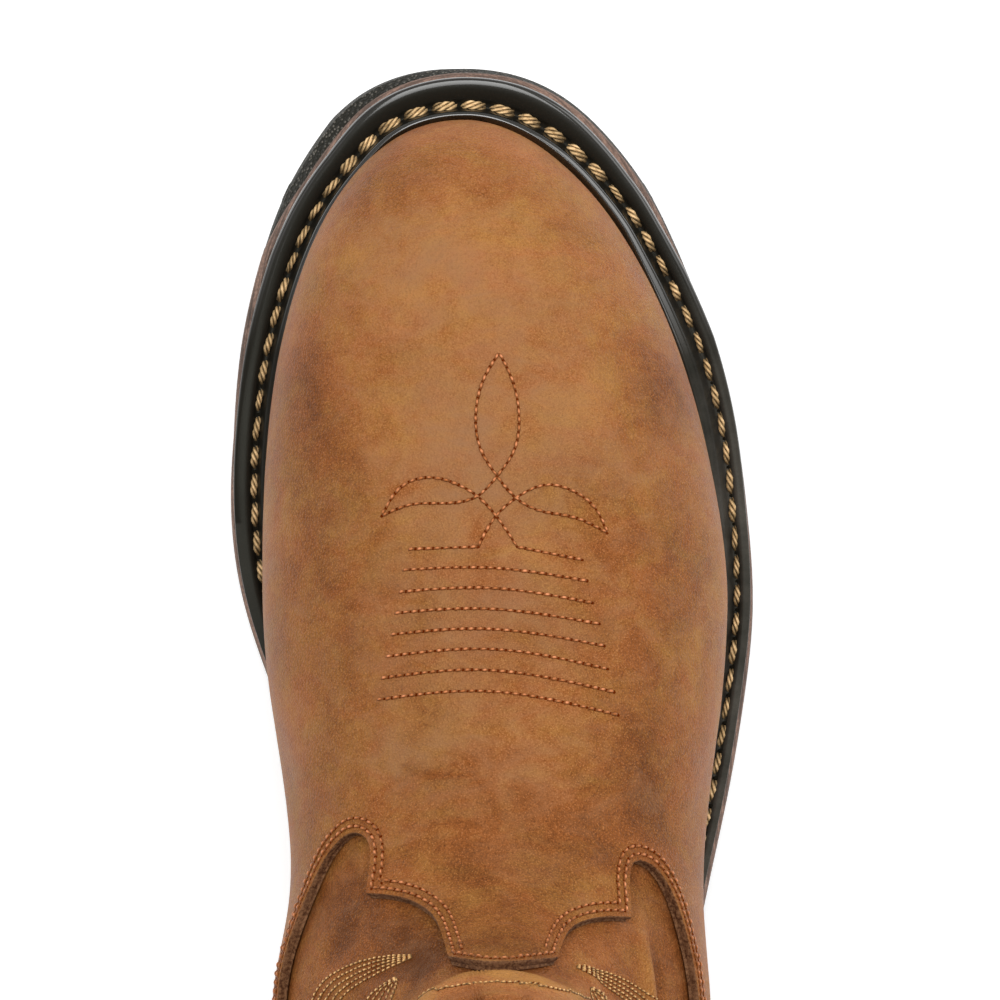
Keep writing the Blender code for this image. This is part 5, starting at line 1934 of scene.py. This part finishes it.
def make_welt_stitching(scene):
    """Heavy twisted stitches in the welt's channel, doubled round the toe."""
    thread = scene.boot_thread
    outside, inside, seam = welt_edges()
    plan = outside + (inside - outside) * seam[:, None]
    closed = np.vstack([plan, plan[:1]])
    height = seat_height(closed[:, 1]) + CHANNEL_HEIGHT
    path = place(np.column_stack([closed, height]))
    up = np.tile((0.0, 0.0, 1.0), (len(path), 1))
    middles, along, out = stitch_points(path, up, thread.welt_pitch)
    middles = middles + out * (thread.welt_radius * WELT_LIFT)
    along = along * np.where(along[:, 1:2] > 0.0, -1.0, 1.0)
    along = along + WELT_LEAN * np.stack([along[:, 1], -along[:, 0], 0.0 * along[:, 2]], axis=1)
    way = run_lengths(middles)
    way = np.where(way > way[-1] / 2.0, way - way[-1], way) / MM
    twice = (way > TWICE_SEWN[0]) & (way < TWICE_SEWN[1])
    beside = np.cross(out, along)
    beside /= np.linalg.norm(beside, axis=1, keepdims=True)
    shift = thread.welt_radius * WELT_SHIFT
    rows = [(middles[~twice], along[~twice], out[~twice])]
    for side in (-1.0, 1.0):
        rows.append(((middles + beside * shift * side)[twice], along[twice], out[twice]))
    finish = thread_finish("welt thread", thread.welt, *WELT_THREAD)
    made = twisted_stitch_tree("welt stitch", finish, hole_finish("welt needle hole", scene.boot_sole.rubber))
    sizes = {"Stitch Length": thread.welt_pitch, "Thread Radius": thread.welt_radius, "Seed": thread.seed + 2}
    sew("sewing_welt", made, rows, sizes, "welt_rubber")


# Studio

CAMERA_SIDE = -1.1
CAMERA_STATION = 93.3
SENSOR_WIDTH = 36.0
FLOOR_REACH = 3.0
FLOOR_DROP = -0.0002
FLOOR_SHADE = 0.98

# Point of the boot that the lights are aimed at; then each light's place and size, and the left one's power
# as a share of the right one's
LIGHT_AIM = (0.0, 100.0, 60.0)
KEY_LIGHT = ((0.06, -0.40, 1.75), 1.3)
RIGHT_LIGHT = ((-1.0, -0.45, 0.8), 0.8)
LEFT_LIGHT = ((1.1, 0.05, 0.8), 0.8)
LEFT_SHARE = 0.3


def add_area(name, light, power):
    """A square area light aimed at the boot."""
    spot, size = light
    aim = place(LIGHT_AIM)
    lamp = bpy.data.lights.new(name, "AREA")
    lamp.size = size
    lamp.energy = power
    holder = bpy.data.objects.new(name, lamp)
    holder.location = spot
    holder.rotation_euler = (Vector(aim) - Vector(spot)).to_track_quat("-Z", "Y").to_euler()
    bpy.context.scene.collection.objects.link(holder)


def make_stage(scene):
    """Pale floor, even sky, soft lights and the camera straight over the vamp."""
    stage = scene.boot_stage
    paint = Paint("pale floor")
    shade = paint.noise(3.0, 2.0)
    floor_colour = paint.mix(stage.floor, dimmed(stage.floor, FLOOR_SHADE), shade)
    finish = paint.finish(
        Base_Color=floor_colour, Roughness=0.9, Specular_IOR_Level=0.1, Emission_Color=floor_colour,
        Emission_Strength=stage.glow,
    )
    mesh = bpy.data.meshes.new("floor")
    ways = ((-1.0, -1.0), (1.0, -1.0), (1.0, 1.0), (-1.0, 1.0))
    corners = [(x * FLOOR_REACH, y * FLOOR_REACH, FLOOR_DROP) for x, y in ways]
    mesh.from_pydata(corners, [], [(0, 1, 2, 3)])
    mesh.materials.append(finish)
    floor = bpy.data.objects.new("floor", mesh)
    scene.collection.objects.link(floor)
    world = bpy.data.worlds.new("sky")
    world.use_nodes = True
    background = world.node_tree.nodes["Background"]
    background.inputs["Color"].default_value = (1.0, 1.0, 1.0, 1.0)
    background.inputs["Strength"].default_value = stage.sky
    scene.world = world
    add_area("key", KEY_LIGHT, stage.key)
    add_area("right light", RIGHT_LIGHT, stage.fill)
    add_area("left light", LEFT_LIGHT, stage.fill * LEFT_SHARE)
    lens = bpy.data.cameras.new("camera")
    lens.lens = stage.lens
    lens.sensor_width = SENSOR_WIDTH
    camera = bpy.data.objects.new("camera", lens)
    spot = place((CAMERA_SIDE, CAMERA_STATION, 0.0))
    camera.location = (spot[0], spot[1], stage.camera_height)
    camera.rotation_euler = (0.0, 0.0, math.pi)
    scene.collection.objects.link(camera)
    scene.camera = camera
    scene.view_settings.view_transform = "Standard"


class BootOperator:
    """What every operator of the boot shares: it makes one piece or group in the current scene."""

    bl_options = {"REGISTER", "UNDO"}

    def execute(self, context):
        self.make(context.scene)
        return {"FINISHED"}


class BOOT_OT_vamp(BootOperator, bpy.types.Operator):
    """Make the hollow leather vamp"""

    bl_idname = "boot.vamp"
    bl_label = "Vamp"
    make = staticmethod(make_vamp)


class BOOT_OT_shaft(BootOperator, bpy.types.Operator):
    """Make the hollow leather shaft"""

    bl_idname = "boot.shaft"
    bl_label = "Shaft"
    make = staticmethod(make_shaft)


class BOOT_OT_outsole(BootOperator, bpy.types.Operator):
    """Make the rubber outsole"""

    bl_idname = "boot.outsole"
    bl_label = "Outsole"
    make = staticmethod(make_outsole)


class BOOT_OT_midsole(BootOperator, bpy.types.Operator):
    """Make the brown midsole"""

    bl_idname = "boot.midsole"
    bl_label = "Midsole"
    make = staticmethod(make_midsole)


class BOOT_OT_heel(BootOperator, bpy.types.Operator):
    """Make the heel block"""

    bl_idname = "boot.heel"
    bl_label = "Heel"
    make = staticmethod(make_heel)


class BOOT_OT_welt(BootOperator, bpy.types.Operator):
    """Make the storm welt"""

    bl_idname = "boot.welt"
    bl_label = "Welt"
    make = staticmethod(make_welt)


class BOOT_OT_insole(BootOperator, bpy.types.Operator):
    """Make the insole"""

    bl_idname = "boot.insole"
    bl_label = "Insole"
    make = staticmethod(make_insole)


class BOOT_OT_vamp_stitching(BootOperator, bpy.types.Operator):
    """Sew the toe and the vamp's top edge"""

    bl_idname = "boot.vamp_stitching"
    bl_label = "Vamp stitching"
    make = staticmethod(make_vamp_stitching)


class BOOT_OT_shaft_stitching(BootOperator, bpy.types.Operator):
    """Sew the shaft's leaves, seams and collar"""

    bl_idname = "boot.shaft_stitching"
    bl_label = "Shaft stitching"
    make = staticmethod(make_shaft_stitching)


class BOOT_OT_welt_stitching(BootOperator, bpy.types.Operator):
    """Sew the welt"""

    bl_idname = "boot.welt_stitching"
    bl_label = "Welt stitching"
    make = staticmethod(make_welt_stitching)


class BOOT_OT_stage(BootOperator, bpy.types.Operator):
    """Make the floor, the lights and the camera"""

    bl_idname = "boot.stage"
    bl_label = "Stage"
    make = staticmethod(make_stage)


OPERATORS = (
    BOOT_OT_vamp,
    BOOT_OT_shaft,
    BOOT_OT_outsole,
    BOOT_OT_midsole,
    BOOT_OT_heel,
    BOOT_OT_welt,
    BOOT_OT_insole,
    BOOT_OT_vamp_stitching,
    BOOT_OT_shaft_stitching,
    BOOT_OT_welt_stitching,
    BOOT_OT_stage,
)
SETTINGS = {
    "boot_leather": BootLeather,
    "boot_sole": BootSole,
    "boot_thread": BootThread,
    "boot_stage": BootStage,
}


class BOOT_PT_sidebar(bpy.types.Panel):
    """Lists the boot's operators and settings"""

    bl_idname = "BOOT_PT_sidebar"
    bl_label = "Roper boot"
    bl_space_type = "VIEW_3D"
    bl_region_type = "UI"
    bl_category = "Boot"

    def draw(self, context):
        for operator in OPERATORS:
            self.layout.operator(operator.bl_idname)
        for name, group in SETTINGS.items():
            box = self.layout.box()
            for setting in group.__annotations__:
                box.prop(getattr(context.scene, name), setting)


def register():
    for group in SETTINGS.values():
        bpy.utils.register_class(group)
    for name, group in SETTINGS.items():
        setattr(bpy.types.Scene, name, PointerProperty(type=group))
    for operator in OPERATORS:
        bpy.utils.register_class(operator)
    bpy.utils.register_class(BOOT_PT_sidebar)


def unregister():
    bpy.utils.unregister_class(BOOT_PT_sidebar)
    for operator in reversed(OPERATORS):
        bpy.utils.unregister_class(operator)
    for name, group in SETTINGS.items():
        delattr(bpy.types.Scene, name)
        bpy.utils.unregister_class(group)


def main():
    """Registers the add-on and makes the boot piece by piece."""
    register()
    for operator in OPERATORS:
        group, name = operator.bl_idname.split(".")
        getattr(getattr(bpy.ops, group), name)()


if __name__ == "__main__":
    main()
